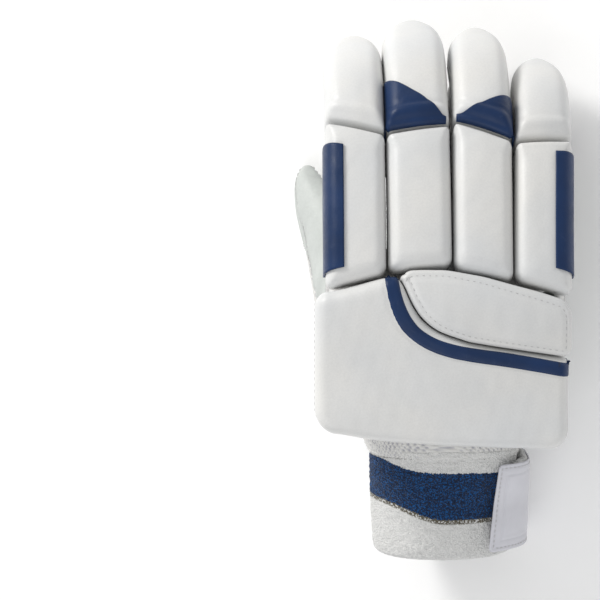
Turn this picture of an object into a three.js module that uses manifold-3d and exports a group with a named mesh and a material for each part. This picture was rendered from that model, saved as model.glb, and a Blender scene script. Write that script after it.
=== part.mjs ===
// Cricket batting glove for the right hand, lying palm down as it rests by itself.
// Lengths are millimetres and angles are degrees.
//
// The glove is drawn in its own frame: x runs across the hand from the thumb side to the little finger,
// y from the wrist to the fingertips and z out of the back of the hand. Everything on the back is set out
// flat, as (across, along, height over the back), and then curled with the fingers.
// At the end the whole glove is laid down, +Z up, with +Y still towards the fingers.

import * as THREE from "three";
import { ConvexHull } from "three/addons/math/ConvexHull.js";
import Module from "manifold-3d";

const wasm = await Module();
wasm.setup();

// Driving dimensions.
const handWidth = 124; // across the row of finger pads
const knuckleLine = 80; // along the back, from the wrist seam to the foot of the finger pads
const fingerLength = 158; // middle finger, from the knuckle line to the end of its tip pad
const palmDepth = 62; // back of the hand to the palm, at the heel of the hand
const stallDepth = 30; // finger tube, back to front, at the fingertip
const stallReach = 2; // the finger tube runs on past its tip pad
const stallRounding = 16; // length over which a fingertip rounds off
const stallWidth = 28.6;
const leatherWall = 2;
const seamGap = 0.3; // between pieces that are sewn or glued to each other
const finest = 0.14; // shell facets flatter than this are merged
const crumb = 0.015; // corners closer than this are one corner
const padThickness = 22.5;
const tipPadThickness = 24.5;
const midPadWidth = 30;
const tipPadWidth = 30.2;
const jointGroove = 1.2; // between a finger's two pads
const handPadWidth = 124.5;
const handPadLength = 80;
const handPadLeft = -65.7; // thumb-side edge of the hand pad
const knucklePadWidth = 84.5;
const knucklePadLength = 38;
const knuckleGroove = 1.4; // between the hand pad and the knuckle pad
const backRadius = 560; // the back of the hand is gently arched across
const inlayThickness = 1.6; // coloured leather let into a pad
const stripeWidth = 6.6;
const sidePanelFront = 9; // how far a side panel shows on the front of its pad
const wristMeshLength = 14; // mesh above the wrist seam
const thumbLength = 112;
const thumbWidth = 58;
const thumbThickness = 31;
const cuffWidth = 74;
const cuffDepth = 61;
const cuffLength = 52;
const cuffWall = 4;
const cuffLean = -1.5; // the cuff's lower end tips a little towards the palm
const wristSeam = -8; // along the back, where the cuff is sewn on
const strapWidth = 44;
const strapThickness = 3.2;
const strapDrop = 3; // from the wrist seam to the upper edge of the strap
const tabThickness = 0.9;
const tabMargin = 2.4; // strap showing round the tab
const restPress = 1.2; // how far the soft contact spots are flattened on the floor

// Fingers. Along is a share of fingerLength past the knuckle line, across of handWidth, and width of the
// pad and tube widths. A slope is how far an edge runs along the finger for each millimetre across.
const fingers = [
  { name: "index", across: -0.367, fan: -0.005, width: 0.99, foot: 0.005, joint: 0.4715, tip: 0.925, footSlope: 0.206, jointSlope: -0.2 },
  { name: "middle", across: -0.1137, fan: -0.007, width: 1.045, foot: 0.04, joint: 0.462, tip: 0.98, footSlope: 0.08, jointSlope: 0.1 },
  { name: "ring", across: 0.1371, fan: 0.008, width: 0.975, foot: 0.022, joint: 0.456, tip: 0.95, footSlope: -0.185, jointSlope: -0.26 },
  { name: "little", across: 0.3742, fan: 0.03, width: 0.94, foot: -0.013, joint: 0.427, tip: 0.84, footSlope: -0.224, jointSlope: 0.05 },
];

// How the fingers curl: each bend turns the finger by an angle over a span, a share of fingerLength.
const knuckleBend = { before: 0.041, turn: 18, span: 0.164 };
const slackBend = { turn: 6, span: 0.27 };
const middleBend = { turn: 18, span: 0.164 };
const endBend = { beforeTip: 0.275, turn: 34, span: 0.2 };

// Hand body from the wrist seam to the crotch of the fingers. Along is a share of knuckleLine, left and
// right are shares of handWidth, top and bottom of palmDepth.
const handRows = [
  { along: 0.12, left: -0.36, right: 0.335, top: -0.018, bottom: -1.06 },
  { along: 0.36, left: -0.43, right: 0.4, top: 0, bottom: -1.04 },
  { along: 0.62, left: -0.465, right: 0.45, top: 0, bottom: -0.98 },
  { along: 0.9, left: -0.487, right: 0.487, top: 0, bottom: -0.87 },
  { along: 1.12, left: -0.484, right: 0.49, top: 0, bottom: -0.72 },
  { along: 1.24, left: -0.47, right: 0.48, top: -0.03, bottom: -0.64 },
];
const crotchRounding = 0.12; // share of the hand body's size lost at the crotch

// Finger tube depth, back to front, as a share of stallDepth, over the finger from the crotch to the tip.
const stallRows = [
  { share: 0, depth: 1.5 },
  { share: 0.2, depth: 1.33 },
  { share: 0.4, depth: 1.2 },
  { share: 0.58, depth: 1.12 },
  { share: 0.78, depth: 1.04 },
  { share: 1, depth: 1 },
];

// The knitted side band between back and palm. Along is a share of the length from the wrist seam to the
// end of a finger, and both edges are heights as shares of palmDepth.
const bandRows = [
  { along: -0.02, upper: -0.44, lower: -0.74 },
  { along: 0.1, upper: -0.28, lower: -0.6 },
  { along: 0.2, upper: -0.21, lower: -0.55 },
  { along: 0.38, upper: -0.2, lower: -0.53 },
  { along: 0.6, upper: -0.23, lower: -0.5 },
  { along: 0.85, upper: -0.21, lower: -0.43 },
  { along: 1.1, upper: -0.19, lower: -0.4 },
];

// Pad profile from one foot over the crown: across is a share of the half width, height of the thickness.
const padProfile = [
  { across: -0.985, height: 0 },
  { across: -1, height: 0.5 },
  { across: -0.93, height: 0.83 },
  { across: -0.62, height: 0.975 },
  { across: 0, height: 1 },
];

// How a pad rises at a square end and runs out at a round one. Run is a share of padThickness.
const squareEnd = [
  { run: 0, width: 0.93, height: 0.5 },
  { run: 0.06, width: 0.97, height: 0.8 },
  { run: 0.2, width: 1, height: 0.96 },
];
const roundEnd = [
  { run: 1.1, width: 1, height: 1 },
  { run: 0.62, width: 0.93, height: 0.97 },
  { run: 0.3, width: 0.78, height: 0.86 },
  { run: 0.1, width: 0.56, height: 0.66 },
  { run: 0, width: 0.3, height: 0.3 },
];

// Hand pad, column by column from the thumb side. Across is a share of handPadWidth, low and high of
// handPadLength, and rise of padThickness.
const handPadColumns = [
  { across: 0, low: 0.322, high: 0.82, rise: 0.5 },
  { across: 0.009, low: 0.242, high: 0.91, rise: 0.8 },
  { across: 0.03, low: 0.182, high: 0.945, rise: 0.96 },
  { across: 0.07, low: 0.137, high: 0.9625, rise: 1 },
  { across: 0.166, low: 0.102, high: 0.9925, rise: 1 },
  { across: 0.266, low: 0.077, high: 1.0275, rise: 1 },
  { across: 0.3245, low: 0.067, high: 1.0325, rise: 1 },
  { across: 0.348, low: 0.062, high: 0.9875, rise: 1 },
  { across: 0.379, low: 0.058, high: 0.8975, rise: 1 },
  { across: 0.449, low: 0.052, high: 0.786, rise: 1 },
  { across: 0.528, low: 0.047, high: 0.725, rise: 1 },
  { across: 0.605, low: 0.042, high: 0.685, rise: 1 },
  { across: 0.72, low: 0.034, high: 0.654, rise: 1 },
  { across: 0.881, low: 0.032, high: 0.615, rise: 1 },
  { across: 0.95, low: 0.047, high: 0.595, rise: 0.97 },
  { across: 0.988, low: 0.112, high: 0.55, rise: 0.8 },
  { across: 1, low: 0.182, high: 0.45, rise: 0.5 },
];

// Knuckle pad, column by column. Its lower edge follows the hand pad's upper edge, and crown is the upper
// edge as a share of knucklePadLength above the lower right corner. Foot only rounds its two ends.
const knucklePadColumns = [
  { across: 0, crown: 0.95, foot: 0, rise: 0.5 },
  { across: 0.0165, crown: 0.975, foot: 0, rise: 0.84 },
  { across: 0.064, crown: 0.99, foot: 0, rise: 0.97 },
  { across: 0.137, crown: 0.995, foot: 0, rise: 1 },
  { across: 0.27, crown: 0.99, foot: 0, rise: 1 },
  { across: 0.484, crown: 0.916, foot: 0, rise: 1 },
  { across: 0.638, crown: 0.84, foot: 0, rise: 1 },
  { across: 0.815, crown: 0.76, foot: 0, rise: 1 },
  { across: 0.94, crown: 0.695, foot: 0.01, rise: 0.97 },
  { across: 0.988, crown: 0.64, foot: 0.06, rise: 0.8 },
  { across: 1, crown: 0.54, foot: 0.16, rise: 0.5 },
];

// Middle of the stripe, from the top edge of the hand pad round to the little-finger side, as shares of
// handPadWidth and handPadLength.
const stripeLine = [
  { across: 0.298, up: 1.12 },
  { across: 0.302, up: 1.0 },
  { across: 0.323, up: 0.893 },
  { across: 0.376, up: 0.778 },
  { across: 0.458, up: 0.69 },
  { across: 0.585, up: 0.63 },
  { across: 0.722, up: 0.597 },
  { across: 0.973, up: 0.527 },
  { across: 1.03, up: 0.51 },
];

// Thumb, station by station from inside the palm to the tip. Along and bow are shares of thumbLength,
// width of thumbWidth, thick of thumbThickness, and out is how far it stands to the side, a share of handWidth.
const thumbRoot = { side: -0.306, along: 0.487, height: -0.805 }; // shares of handWidth, knuckleLine and palmDepth
const thumbLean = 37.7; // from the hand's own direction towards the palm
const thumbStations = [
  { along: 0, bow: 0, width: 1.1, thick: 0.95, out: 0, tilt: 7 },
  { along: 0.146, bow: -0.086, width: 1.0, thick: 1.0, out: 0.035, tilt: 10 },
  { along: 0.33, bow: -0.1, width: 0.98, thick: 1.0, out: 0.08, tilt: 11 },
  { along: 0.503, bow: -0.088, width: 0.88, thick: 0.97, out: 0.115, tilt: 13 },
  { along: 0.677, bow: -0.077, width: 0.7, thick: 0.88, out: 0.155, tilt: 18 },
  { along: 0.814, bow: -0.061, width: 0.52, thick: 0.74, out: 0.205, tilt: 26 },
  { along: 0.925, bow: -0.036, width: 0.34, thick: 0.52, out: 0.24, tilt: 28 },
  { along: 0.995, bow: -0.01, width: 0.16, thick: 0.27, out: 0.25, tilt: 28 },
];
// The seam between the thumb's leather front and its mesh back, and the leather patch at the tip.
const thumbSeam = [
  { along: -0.2, bow: -0.142 },
  { along: 0.562, bow: -0.104 },
  { along: 0.967, bow: -0.004 },
  { along: 1.2, bow: 0.05 },
];
const thumbPatchSeam = [
  { along: 0.562, bow: -0.104 },
  { along: 0.723, bow: -0.194 },
  { along: 0.9, bow: -0.4 },
];

// Cuff profile from the lower hem to the wrist seam: share of cuffLength, and how far the towelling draws in.
const cuffRows = [
  { share: 1, draw: 3.6 },
  { share: 0.975, draw: 2 },
  { share: 0.9, draw: 1.2 },
  { share: 0.6, draw: 0.8 },
  { share: 0.25, draw: 0.3 },
  { share: 0, draw: 0 },
];
const strapStart = 50; // round the cuff from the little-finger side, towards the back
const strapEnd = -124; // and on round the palm side
const tabEnd = -32;

const materials = {
  white_leather: new THREE.MeshStandardMaterial({ color: 0xe9e8e4, roughness: 0.45, metalness: 0 }),
  palm_leather: new THREE.MeshStandardMaterial({ color: 0xdde0dc, roughness: 0.6, metalness: 0 }),
  blue_leather: new THREE.MeshStandardMaterial({ color: 0x16305e, roughness: 0.4, metalness: 0 }),
  knit: new THREE.MeshStandardMaterial({ color: 0xe6e5ec, roughness: 0.9, metalness: 0 }),
  mesh_fabric: new THREE.MeshStandardMaterial({ color: 0xdedde0, roughness: 0.9, metalness: 0 }),
  towelling: new THREE.MeshStandardMaterial({ color: 0xe4e4e2, roughness: 1, metalness: 0 }),
  tab_vinyl: new THREE.MeshStandardMaterial({ color: 0xdcdae0, roughness: 0.5, metalness: 0 }),
};

const radians = THREE.MathUtils.degToRad;
const smooth = (t) => THREE.MathUtils.smoothstep(t, 0, 1);
const backHeight = palmDepth * 0.53; // the back of the hand stands this far above the wrist's centre line
const glove = new THREE.Group();

// Solids

// A closed solid through rings of points, with a flat fan at each end.
function loft(rings) {
  const count = rings[0].length;
  const points = rings.flat();
  const faces = [];
  for (let r = 0; r + 1 < rings.length; r++)
    for (let i = 0; i < count; i++) {
      const j = (i + 1) % count;
      const [a, b, c, d] = [r * count + i, r * count + j, (r + 1) * count + j, (r + 1) * count + i];
      faces.push([a, b, c], [a, c, d]);
    }
  for (const [r, flip] of [[0, true], [rings.length - 1, false]]) {
    const centre = new THREE.Vector3();
    rings[r].forEach((p) => centre.addScaledVector(p, 1 / count));
    points.push(centre);
    for (let i = 0; i < count; i++) {
      const edge = [r * count + i, r * count + ((i + 1) % count)];
      faces.push([...(flip ? edge.reverse() : edge), points.length - 1]);
    }
  }
  return solidFrom(points, faces);
}

function solidFrom(points, faces) {
  let volume = 0;
  for (const [a, b, c] of faces) volume += points[a].dot(points[b].clone().cross(points[c]));
  const triVerts = new Uint32Array(faces.flatMap(([a, b, c]) => (volume > 0 ? [a, b, c] : [a, c, b])));
  const vertProperties = new Float32Array(points.flatMap((p) => [p.x, p.y, p.z]));
  return new wasm.Manifold(new wasm.Mesh({ numProp: 3, vertProperties, triVerts }));
}

const joined = (solids) => solids.reduce((sum, next) => sum.add(next));

// The largest body of a cut piece, without the crumbs that a cut can leave.
function largest(solid) {
  return solid.decompose().reduce((best, body) => (body.volume() > best.volume() ? body : best));
}

const merged = (solid) => largest(largest(solid).simplify(finest));

// Value of a named column at a place along a table, straight between its rows.
function along(rows, key, place, column) {
  const next = rows.findIndex((row) => row[key] >= place);
  if (next === 0) return rows[0][column];
  if (next < 0) return rows.at(-1)[column];
  const [a, b] = [rows[next - 1], rows[next]];
  return THREE.MathUtils.mapLinear(place, a[key], b[key], a[column], b[column]);
}

// The curled back of the hand

const alongFinger = (share) => knuckleLine + share * fingerLength;

// Angle that the back has turned towards the palm at a place along it.
function curlAngle(finger, s) {
  const bends = [
    { at: knuckleLine - knuckleBend.before * fingerLength, ...knuckleBend },
    { at: alongFinger(slackBend.span), ...slackBend },
    { at: alongFinger(finger.joint), ...middleBend },
    { at: alongFinger(finger.tip - endBend.beforeTip), ...endBend },
  ];
  let angle = 0;
  for (const bend of bends) {
    const span = bend.span * fingerLength;
    angle += bend.turn * smooth((s - bend.at) / span + 0.5);
  }
  return radians(angle);
}

const curveStep = 1;
const curves = new Map();

// Points down the middle of the back in the y-z plane, a step apart, starting at the wrist seam.
function curveOf(finger) {
  if (!curves.has(finger.name)) {
    const points = [{ y: 0, z: backHeight }];
    for (let s = 0; s < alongFinger(1.3); s += curveStep) {
      const angle = curlAngle(finger, s + curveStep / 2);
      const last = points.at(-1);
      points.push({ y: last.y + curveStep * Math.cos(angle), z: last.z - curveStep * Math.sin(angle) });
    }
    curves.set(finger.name, points);
  }
  return curves.get(finger.name);
}

// A place over the back of one finger: x across, s along, h out of the back.
function over(finger, x, s, h) {
  const drop = (x * x) / (2 * backRadius) * smooth(s / (knuckleLine * 0.5));
  const fan = finger.fan * handWidth * smooth((s - knuckleLine) / fingerLength);
  const height = h - drop;
  if (s <= 0) return new THREE.Vector3(x, s, backHeight + height);
  const points = curveOf(finger);
  const whole = Math.min(Math.floor(s / curveStep), points.length - 2);
  const rest = s / curveStep - whole;
  const [a, b] = [points[whole], points[whole + 1]];
  const angle = curlAngle(finger, s);
  return new THREE.Vector3(
    x + fan,
    a.y + rest * (b.y - a.y) + height * Math.sin(angle),
    a.z + rest * (b.z - a.z) + height * Math.cos(angle),
  );
}

const centreOf = (finger) => finger.across * handWidth;

// Hand shell

// Rounded section: square shoulders on the back, a rounder palm side.
function roundedSection(left, right, top, bottom, count) {
  const [midX, midH] = [(left + right) / 2, (top + bottom) / 2];
  const [halfX, halfH] = [(right - left) / 2, (top - bottom) / 2];
  const points = [];
  for (let i = 0; i < count; i++) {
    const angle = (2 * Math.PI * (i + 0.5)) / count;
    const [c, s] = [Math.cos(angle), Math.sin(angle)];
    const power = s > 0 ? 2 / 3.6 : 2 / 2.7;
    const round = (v) => Math.sign(v) * Math.abs(v) ** power;
    points.push([midX + halfX * round(c), midH + halfH * round(s)]);
  }
  return points;
}

// The wrist end of the hand body has the size of the cuff that is sewn to it.
const wristRow = {
  left: -cuffWidth / 2,
  right: cuffWidth / 2,
  top: cuffDepth / 2 - backHeight,
  bottom: -cuffDepth / 2 - backHeight,
};

// The hand body, grown by a margin on every side, or shrunk by a negative one.
function handBody(margin, wristReach) {
  const sectionPoints = 20;
  const place = (s, left, right, top, bottom) =>
    roundedSection(left - margin, right + margin, top + margin, bottom - margin, sectionPoints)
      .map(([x, h]) => over(fingers[1], x, s, h));
  const rings = [];
  rings.push(place(wristSeam - wristReach, wristRow.left, wristRow.right, wristRow.top, wristRow.bottom));
  for (const row of handRows) {
    rings.push(place(
      row.along * knuckleLine + (row === handRows.at(-1) ? margin : 0),
      row.left * handWidth,
      row.right * handWidth,
      row.top * palmDepth,
      row.bottom * palmDepth,
    ));
  }
  return loft(rings);
}

// One finger tube, closed and rounded at the fingertip.
function fingerTube(finger, margin) {
  const start = knuckleLine * 0.88;
  const end = alongFinger(finger.tip) + stallReach + margin;
  const half = (stallWidth * finger.width) / 2 + margin;
  const shares = [0, 0.24, 0.46, 0.64, 0.82];
  const rings = [];
  const ring = (s, scale) => {
    const depth = along(stallRows, "share", (s - start) / (end - start), "depth") * stallDepth;
    const [halfH, middle] = [(depth / 2 + margin) * scale, -depth / 2];
    const x = centreOf(finger);
    return roundedSection(x - half * scale, x + half * scale, middle + halfH, middle - halfH, 10)
      .map(([px, h]) => over(finger, px, s, h));
  };
  for (const share of shares) rings.push(ring(start + share * (end - stallRounding - start), 1));
  for (const turn of [0, 38, 72]) {
    const s = end - stallRounding * (1 - Math.sin(radians(turn)));
    rings.push(ring(s, Math.cos(radians(turn)) ** 0.62));
  }
  return loft(rings);
}

// A slab that follows the curl of one finger between two heights, for cutting the shell into its layers.
// It is straight across, so that neighbouring layers part along the same lines.
function layerSlab(finger, from, to, upper, lower) {
  const index = fingers.indexOf(finger);
  const far = handWidth;
  const middleOf = (a, b) => (centreOf(a) + centreOf(b)) / 2;
  const left = index === 0 ? -far : middleOf(fingers[index - 1], finger);
  const right = index === fingers.length - 1 ? far : middleOf(finger, fingers[index + 1]);
  const steps = Math.ceil((to - from) / 26);
  const ends = [left, right].map((x) => {
    const edge = (height) => {
      const points = [];
      for (let i = 0; i <= steps; i++) {
        const s = from + ((to - from) * i) / steps;
        points.push(over(finger, 0, s, height(s)).setX(x));
      }
      return points;
    };
    return [...edge(upper), ...edge(lower).reverse()];
  });
  return stripPrism(ends);
}

// A prism between two equal outlines, each made of an upper row of points and the lower row back again.
function stripPrism([left, right]) {
  const count = left.length;
  const points = [...left, ...right];
  const faces = [];
  for (let i = 0; i < count; i++) {
    const j = (i + 1) % count;
    faces.push([i, j, count + j], [i, count + j, count + i]);
  }
  for (let i = 0; i + 1 < count / 2; i++) {
    const [a, b, c, d] = [i, i + 1, count - 2 - i, count - 1 - i];
    faces.push([a, d, c], [a, c, b], [count + a, count + c, count + d], [count + a, count + b, count + c]);
  }
  return solidFrom(points, faces);
}

const bandEnd = alongFinger(1) + stallReach;
const bandEdge = (column) => (s) =>
  along(bandRows, "along", (s - wristSeam) / (bandEnd - wristSeam), column) * palmDepth;
const bandUpper = bandEdge("upper");
const bandLower = bandEdge("lower");

// Thumb

// Axes of the thumb in the y-z plane: run goes to its tip, rise towards the fingers.
const thumbOrigin = new THREE.Vector3(
  thumbRoot.side * handWidth,
  thumbRoot.along * knuckleLine,
  backHeight + thumbRoot.height * palmDepth,
);
const thumbRun = new THREE.Vector3(0, Math.cos(radians(thumbLean)), -Math.sin(radians(thumbLean)));
const thumbRise = new THREE.Vector3(0, Math.sin(radians(thumbLean)), Math.cos(radians(thumbLean)));

function thumbPlace(alongShare, bowShare, out) {
  return thumbOrigin.clone()
    .addScaledVector(thumbRun, alongShare * thumbLength)
    .addScaledVector(thumbRise, bowShare * thumbLength)
    .add(new THREE.Vector3(-out * handWidth, 0, 0));
}

function thumbTube(margin) {
  const sectionPoints = 14;
  const rings = thumbStations.map((station, i) => {
    const last = i === thumbStations.length - 1;
    const reach = last ? margin / thumbLength : 0;
    const centre = thumbPlace(station.along + reach, station.bow, station.out);
    const up = new THREE.Vector3(0, Math.cos(radians(station.tilt)), Math.sin(radians(station.tilt)));
    const least = leatherWall * 0.4;
    const halfWidth = Math.max((station.width * thumbWidth) / 2 + margin, least);
    const halfThick = Math.max((station.thick * thumbThickness) / 2 + margin, least);
    const ring = [];
    for (let k = 0; k < sectionPoints; k++) {
      const angle = (2 * Math.PI * k) / sectionPoints;
      const [c, s] = [Math.cos(angle), Math.sin(angle)];
      const bulge = (v) => Math.sign(v) * Math.abs(v) ** 0.86;
      ring.push(centre.clone()
        .addScaledVector(up, halfWidth * bulge(c))
        .add(new THREE.Vector3(halfThick * bulge(s), 0, 0)));
    }
    return ring;
  });
  return loft(rings);
}

// A prism across the thumb from an outline of thumb places.
function thumbPrism(outline) {
  const side = handWidth;
  const ends = [side, -side].map((x) =>
    outline.map((p) => thumbPlace(p.along, p.bow, 0).setX(x)));
  return loft(ends);
}

// Pads

// One ring of a pad at a place along it: the whole profile, foot to foot, over the back of the finger.
function padRing(finger, centre, half, thickness, s, slope, end) {
  const mirrored = padProfile.slice(0, -1).reverse().map((p) => ({ across: -p.across, height: p.height }));
  return [...padProfile, ...mirrored].map((p) => {
    const x = p.across * half * end.width;
    const h = seamGap * 2 + p.height * thickness * end.height;
    return over(finger, centre + x, s + slope * x, h);
  });
}

// A finger pad between two ends. Inset shrinks it all round, for the core under a coloured inlay.
function fingerPad(finger, spec, inset) {
  const centre = centreOf(finger);
  const half = spec.width / 2 - inset;
  const thickness = spec.thickness - inset;
  const [from, to] = [spec.from + inset, spec.to - inset];
  const rings = [];
  const add = (s, slope, end) => rings.push(padRing(finger, centre, half, thickness, s, slope, end));
  for (const end of squareEnd) add(from + end.run * padThickness, spec.lowSlope, end);
  const highEnd = spec.round ? roundEnd : [...squareEnd].reverse();
  const first = from + squareEnd.at(-1).run * padThickness;
  const last = to - highEnd[0].run * padThickness;
  const middleRings = 5;
  for (let i = 1; i <= middleRings; i++) {
    const share = i / (middleRings + 1);
    const slope = spec.lowSlope + (spec.highSlope - spec.lowSlope) * share;
    add(first + (last - first) * share, slope, { width: 1, height: 1 });
  }
  for (const end of highEnd) {
    const eased = spec.round ? spec.highSlope * end.width : spec.highSlope;
    add(to - end.run * padThickness, eased, end);
  }
  return loft(rings);
}

const midPadSpec = (finger) => ({
  from: alongFinger(finger.foot),
  to: alongFinger(finger.joint) - jointGroove / 2,
  width: midPadWidth * finger.width,
  thickness: padThickness,
  lowSlope: finger.footSlope,
  highSlope: finger.jointSlope,
  round: false,
});
const tipPadSpec = (finger) => ({
  from: alongFinger(finger.joint) + jointGroove / 2,
  to: alongFinger(finger.tip),
  width: tipPadWidth * finger.width,
  thickness: tipPadThickness,
  lowSlope: finger.jointSlope,
  highSlope: 0,
  round: true,
});

// A pad that is set out column by column across the hand. Each column is the profile turned end on, with
// extra points between its shoulders so that it follows the curl.
function columnPad(columns, inset) {
  const shoulder = padProfile.slice(0, -1);
  const rings = columns.map((column) => {
    const half = Math.max((column.high - column.low) / 2 - inset, 1);
    const middle = (column.high + column.low) / 2;
    const rounding = Math.min(1, padThickness / 2 / half);
    const reach = (across) => half * (1 - (1 + across) * rounding);
    const flat = reach(-0.62);
    const ring = [
      ...shoulder.map((p) => [-reach(p.across), p.height]),
      ...[-0.4, 0, 0.4].map((share) => [flat * share, 1]),
      ...[...shoulder].reverse().map((p) => [reach(p.across), p.height]),
      ...[0.7, 0.35, -0.3].map((share) => [half * share, 0]),
    ];
    return ring.map(([away, height]) => {
      const lift = seamGap * 2 + height * column.rise * (padThickness - inset);
      return over(fingers[1], column.x, middle + away, lift);
    });
  });
  return loft(rings);
}

const handPadPlaces = handPadColumns.map((column) => ({
  x: handPadLeft + column.across * handPadWidth,
  low: column.low * handPadLength,
  high: column.high * handPadLength,
  rise: column.rise,
}));
// The edge that the knuckle pad and the stripe follow, without the pad's rounded ends.
const handPadEdge = handPadPlaces.slice(5, -2);
const handPadUpper = (x) => along(handPadEdge, "x", x, "high");
const knuckleLeft = handPadEdge[1].x + knuckleGroove;
const knuckleCorner = handPadEdge.at(-1).high;
const knucklePlaces = [
  ...knucklePadColumns.map((column) => column.across),
  ...handPadEdge.map((place) => (place.x - knuckleLeft) / knucklePadWidth),
]
  .filter((across) => across >= 0)
  .sort((a, b) => a - b)
  .filter((across, i, all) => i === 0 || i === all.length - 1 || across - all[i - 1] > 0.005)
  .map((across) => {
    const x = knuckleLeft + across * knucklePadWidth;
    const of = (column) => along(knucklePadColumns, "across", across, column);
    return {
      x,
      low: handPadUpper(x) + knuckleGroove + of("foot") * knucklePadLength,
      high: knuckleCorner + of("crown") * knucklePadLength,
      rise: of("rise"),
    };
  });

// Shift the end columns of a pad inwards for its core.
const insetEnds = (columns, inset) => columns.map((column) => {
  const [first, last] = [columns[0].x, columns.at(-1).x];
  const share = (column.x - first) / (last - first);
  return { ...column, x: column.x + inset * (1 - 2 * share) };
});

// An upright prism on an outline drawn over the back, tall enough to pass through any pad.
function backPrism(finger, outline) {
  const rise = padThickness * 1.6;
  const ends = [-padThickness * 0.1, rise].map((h) => outline.map(([x, s]) => over(finger, x, s, h)));
  return loft(ends);
}

// Cut an inlay out of a pad: the pad keeps a pocket, and the inlay fills it with a seam gap all round.
function inlay(pad, core, pocketCore, region, wideRegion) {
  const piece = largest(pad.intersect(region).subtract(core).subtract(pocketCore));
  const rest = largest(pad.subtract(wideRegion.add(region).subtract(pocketCore)));
  return [rest, piece];
}

// Cuff

// A place on the cuff: angle round it from the little-finger side towards the back, depth down from the
// wrist seam, and how far outside the towelling's outer face.
function cuffPlace(angle, down, outside) {
  const [c, s] = [Math.cos(angle), Math.sin(angle)];
  const power = s > 0 ? 2 / 3.6 : 2 / 2.7;
  const ease = smooth(down / cuffLength * 2); // from the hand body's section to a plain oval
  const round = (v) => THREE.MathUtils.lerp(Math.sign(v) * Math.abs(v) ** power, v, ease);
  return new THREE.Vector3(
    (cuffWidth / 2 + outside) * round(c),
    wristSeam - seamGap - down,
    (cuffDepth / 2 + outside) * round(s) + Math.tan(radians(cuffLean)) * down * ease,
  );
}

function cuffTube(margin, reach, rows) {
  const sectionPoints = 24;
  return loft(rows.map((row) => {
    const ring = [];
    for (let i = 0; i < sectionPoints; i++) {
      const angle = (2 * Math.PI * (i + 0.5)) / sectionPoints;
      const down = row.share * cuffLength + (row.share === 1 ? reach : row.share === 0 ? -reach : 0);
      ring.push(cuffPlace(angle, down, margin - row.draw));
    }
    return ring;
  }));
}

// A band round part of the cuff between two angles, standing off it, through a list of depths. Its cross
// lines stand at the same angles on every band, and its far end is squeezed by a share of its width.
function cuffBand(fromAngle, toAngle, depths, inner, outer, squeeze) {
  const pitch = 9;
  const angles = [fromAngle];
  for (let a = Math.ceil(fromAngle / pitch - 1) * pitch; a > toAngle; a -= pitch) angles.push(a);
  angles.push(toAngle);
  const middle = (depths[0] + depths.at(-1)) / 2;
  return loft(angles.map((degrees, i) => {
    const scale = i === angles.length - 1 ? 1 - squeeze : 1;
    const place = (outside) => (down) =>
      cuffPlace(radians(degrees), middle + (down - middle) * scale, outside);
    return [...depths.map(place(outer)), ...[...depths].reverse().map(place(inner))];
  }));
}

// Build

const parts = [];
const keep = (name, solid, material) => parts.push({ name, solid, material });

// Shell of the hand and fingers, hollow and open at the wrist.
const outerHand = joined([handBody(0, 0), ...fingers.map((f) => fingerTube(f, 0))]);
const innerHand = joined([handBody(-leatherWall, 2), ...fingers.map((f) => fingerTube(f, -leatherWall))]);
const thumbInside = thumbTube(-leatherWall);
const shell = outerHand.subtract(innerHand).subtract(thumbInside);

// The shell's layers: leather back, knitted side band and leather palm.
const low = (s) => -palmDepth * 1.6;
const high = (s) => palmDepth * 0.4;
const layers = (upper, lower) =>
  joined(fingers.map((f) => layerSlab(f, wristSeam * 2, alongFinger(1.2), upper, lower)));
const halfGap = seamGap / 2;
const bandLayer = layers((s) => bandUpper(s) - halfGap, (s) => bandLower(s) + halfGap);
const backLayer = layers(high, (s) => bandUpper(s) + halfGap);
const palmLayer = layers((s) => bandLower(s) - halfGap, low);
const backShell = shell.intersect(backLayer);
keep("back_panel", merged(backShell.subtract(fullWidth(wristMeshLength + halfGap))), "white_leather");
keep("wrist_mesh", merged(backShell.intersect(fullWidth(wristMeshLength - halfGap))), "mesh_fabric");
keep("side_band", merged(shell.intersect(bandLayer)), "knit");
keep("palm_panel", merged(shell.intersect(palmLayer)), "palm_leather");

// Everything from below the wrist seam up to a height along the hand.
function fullWidth(top) {
  const box = new THREE.BoxGeometry(handWidth * 2, top - wristSeam * 3, palmDepth * 4).toNonIndexed();
  box.translate(0, (top + wristSeam * 3) / 2, 0);
  return solidOfGeometry(box);
}

function solidOfGeometry(geometry) {
  const position = geometry.getAttribute("position");
  const points = [];
  const seen = new Map();
  const faces = [];
  for (let i = 0; i < position.count; i++) {
    const p = new THREE.Vector3().fromBufferAttribute(position, i);
    const key = p.toArray().map((v) => v.toFixed(4)).join(" ");
    if (!seen.has(key)) seen.set(key, points.push(p) - 1);
    faces.push(seen.get(key));
  }
  const triangles = [];
  for (let i = 0; i < faces.length; i += 3) triangles.push(faces.slice(i, i + 3));
  return solidFrom(points, triangles);
}

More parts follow.
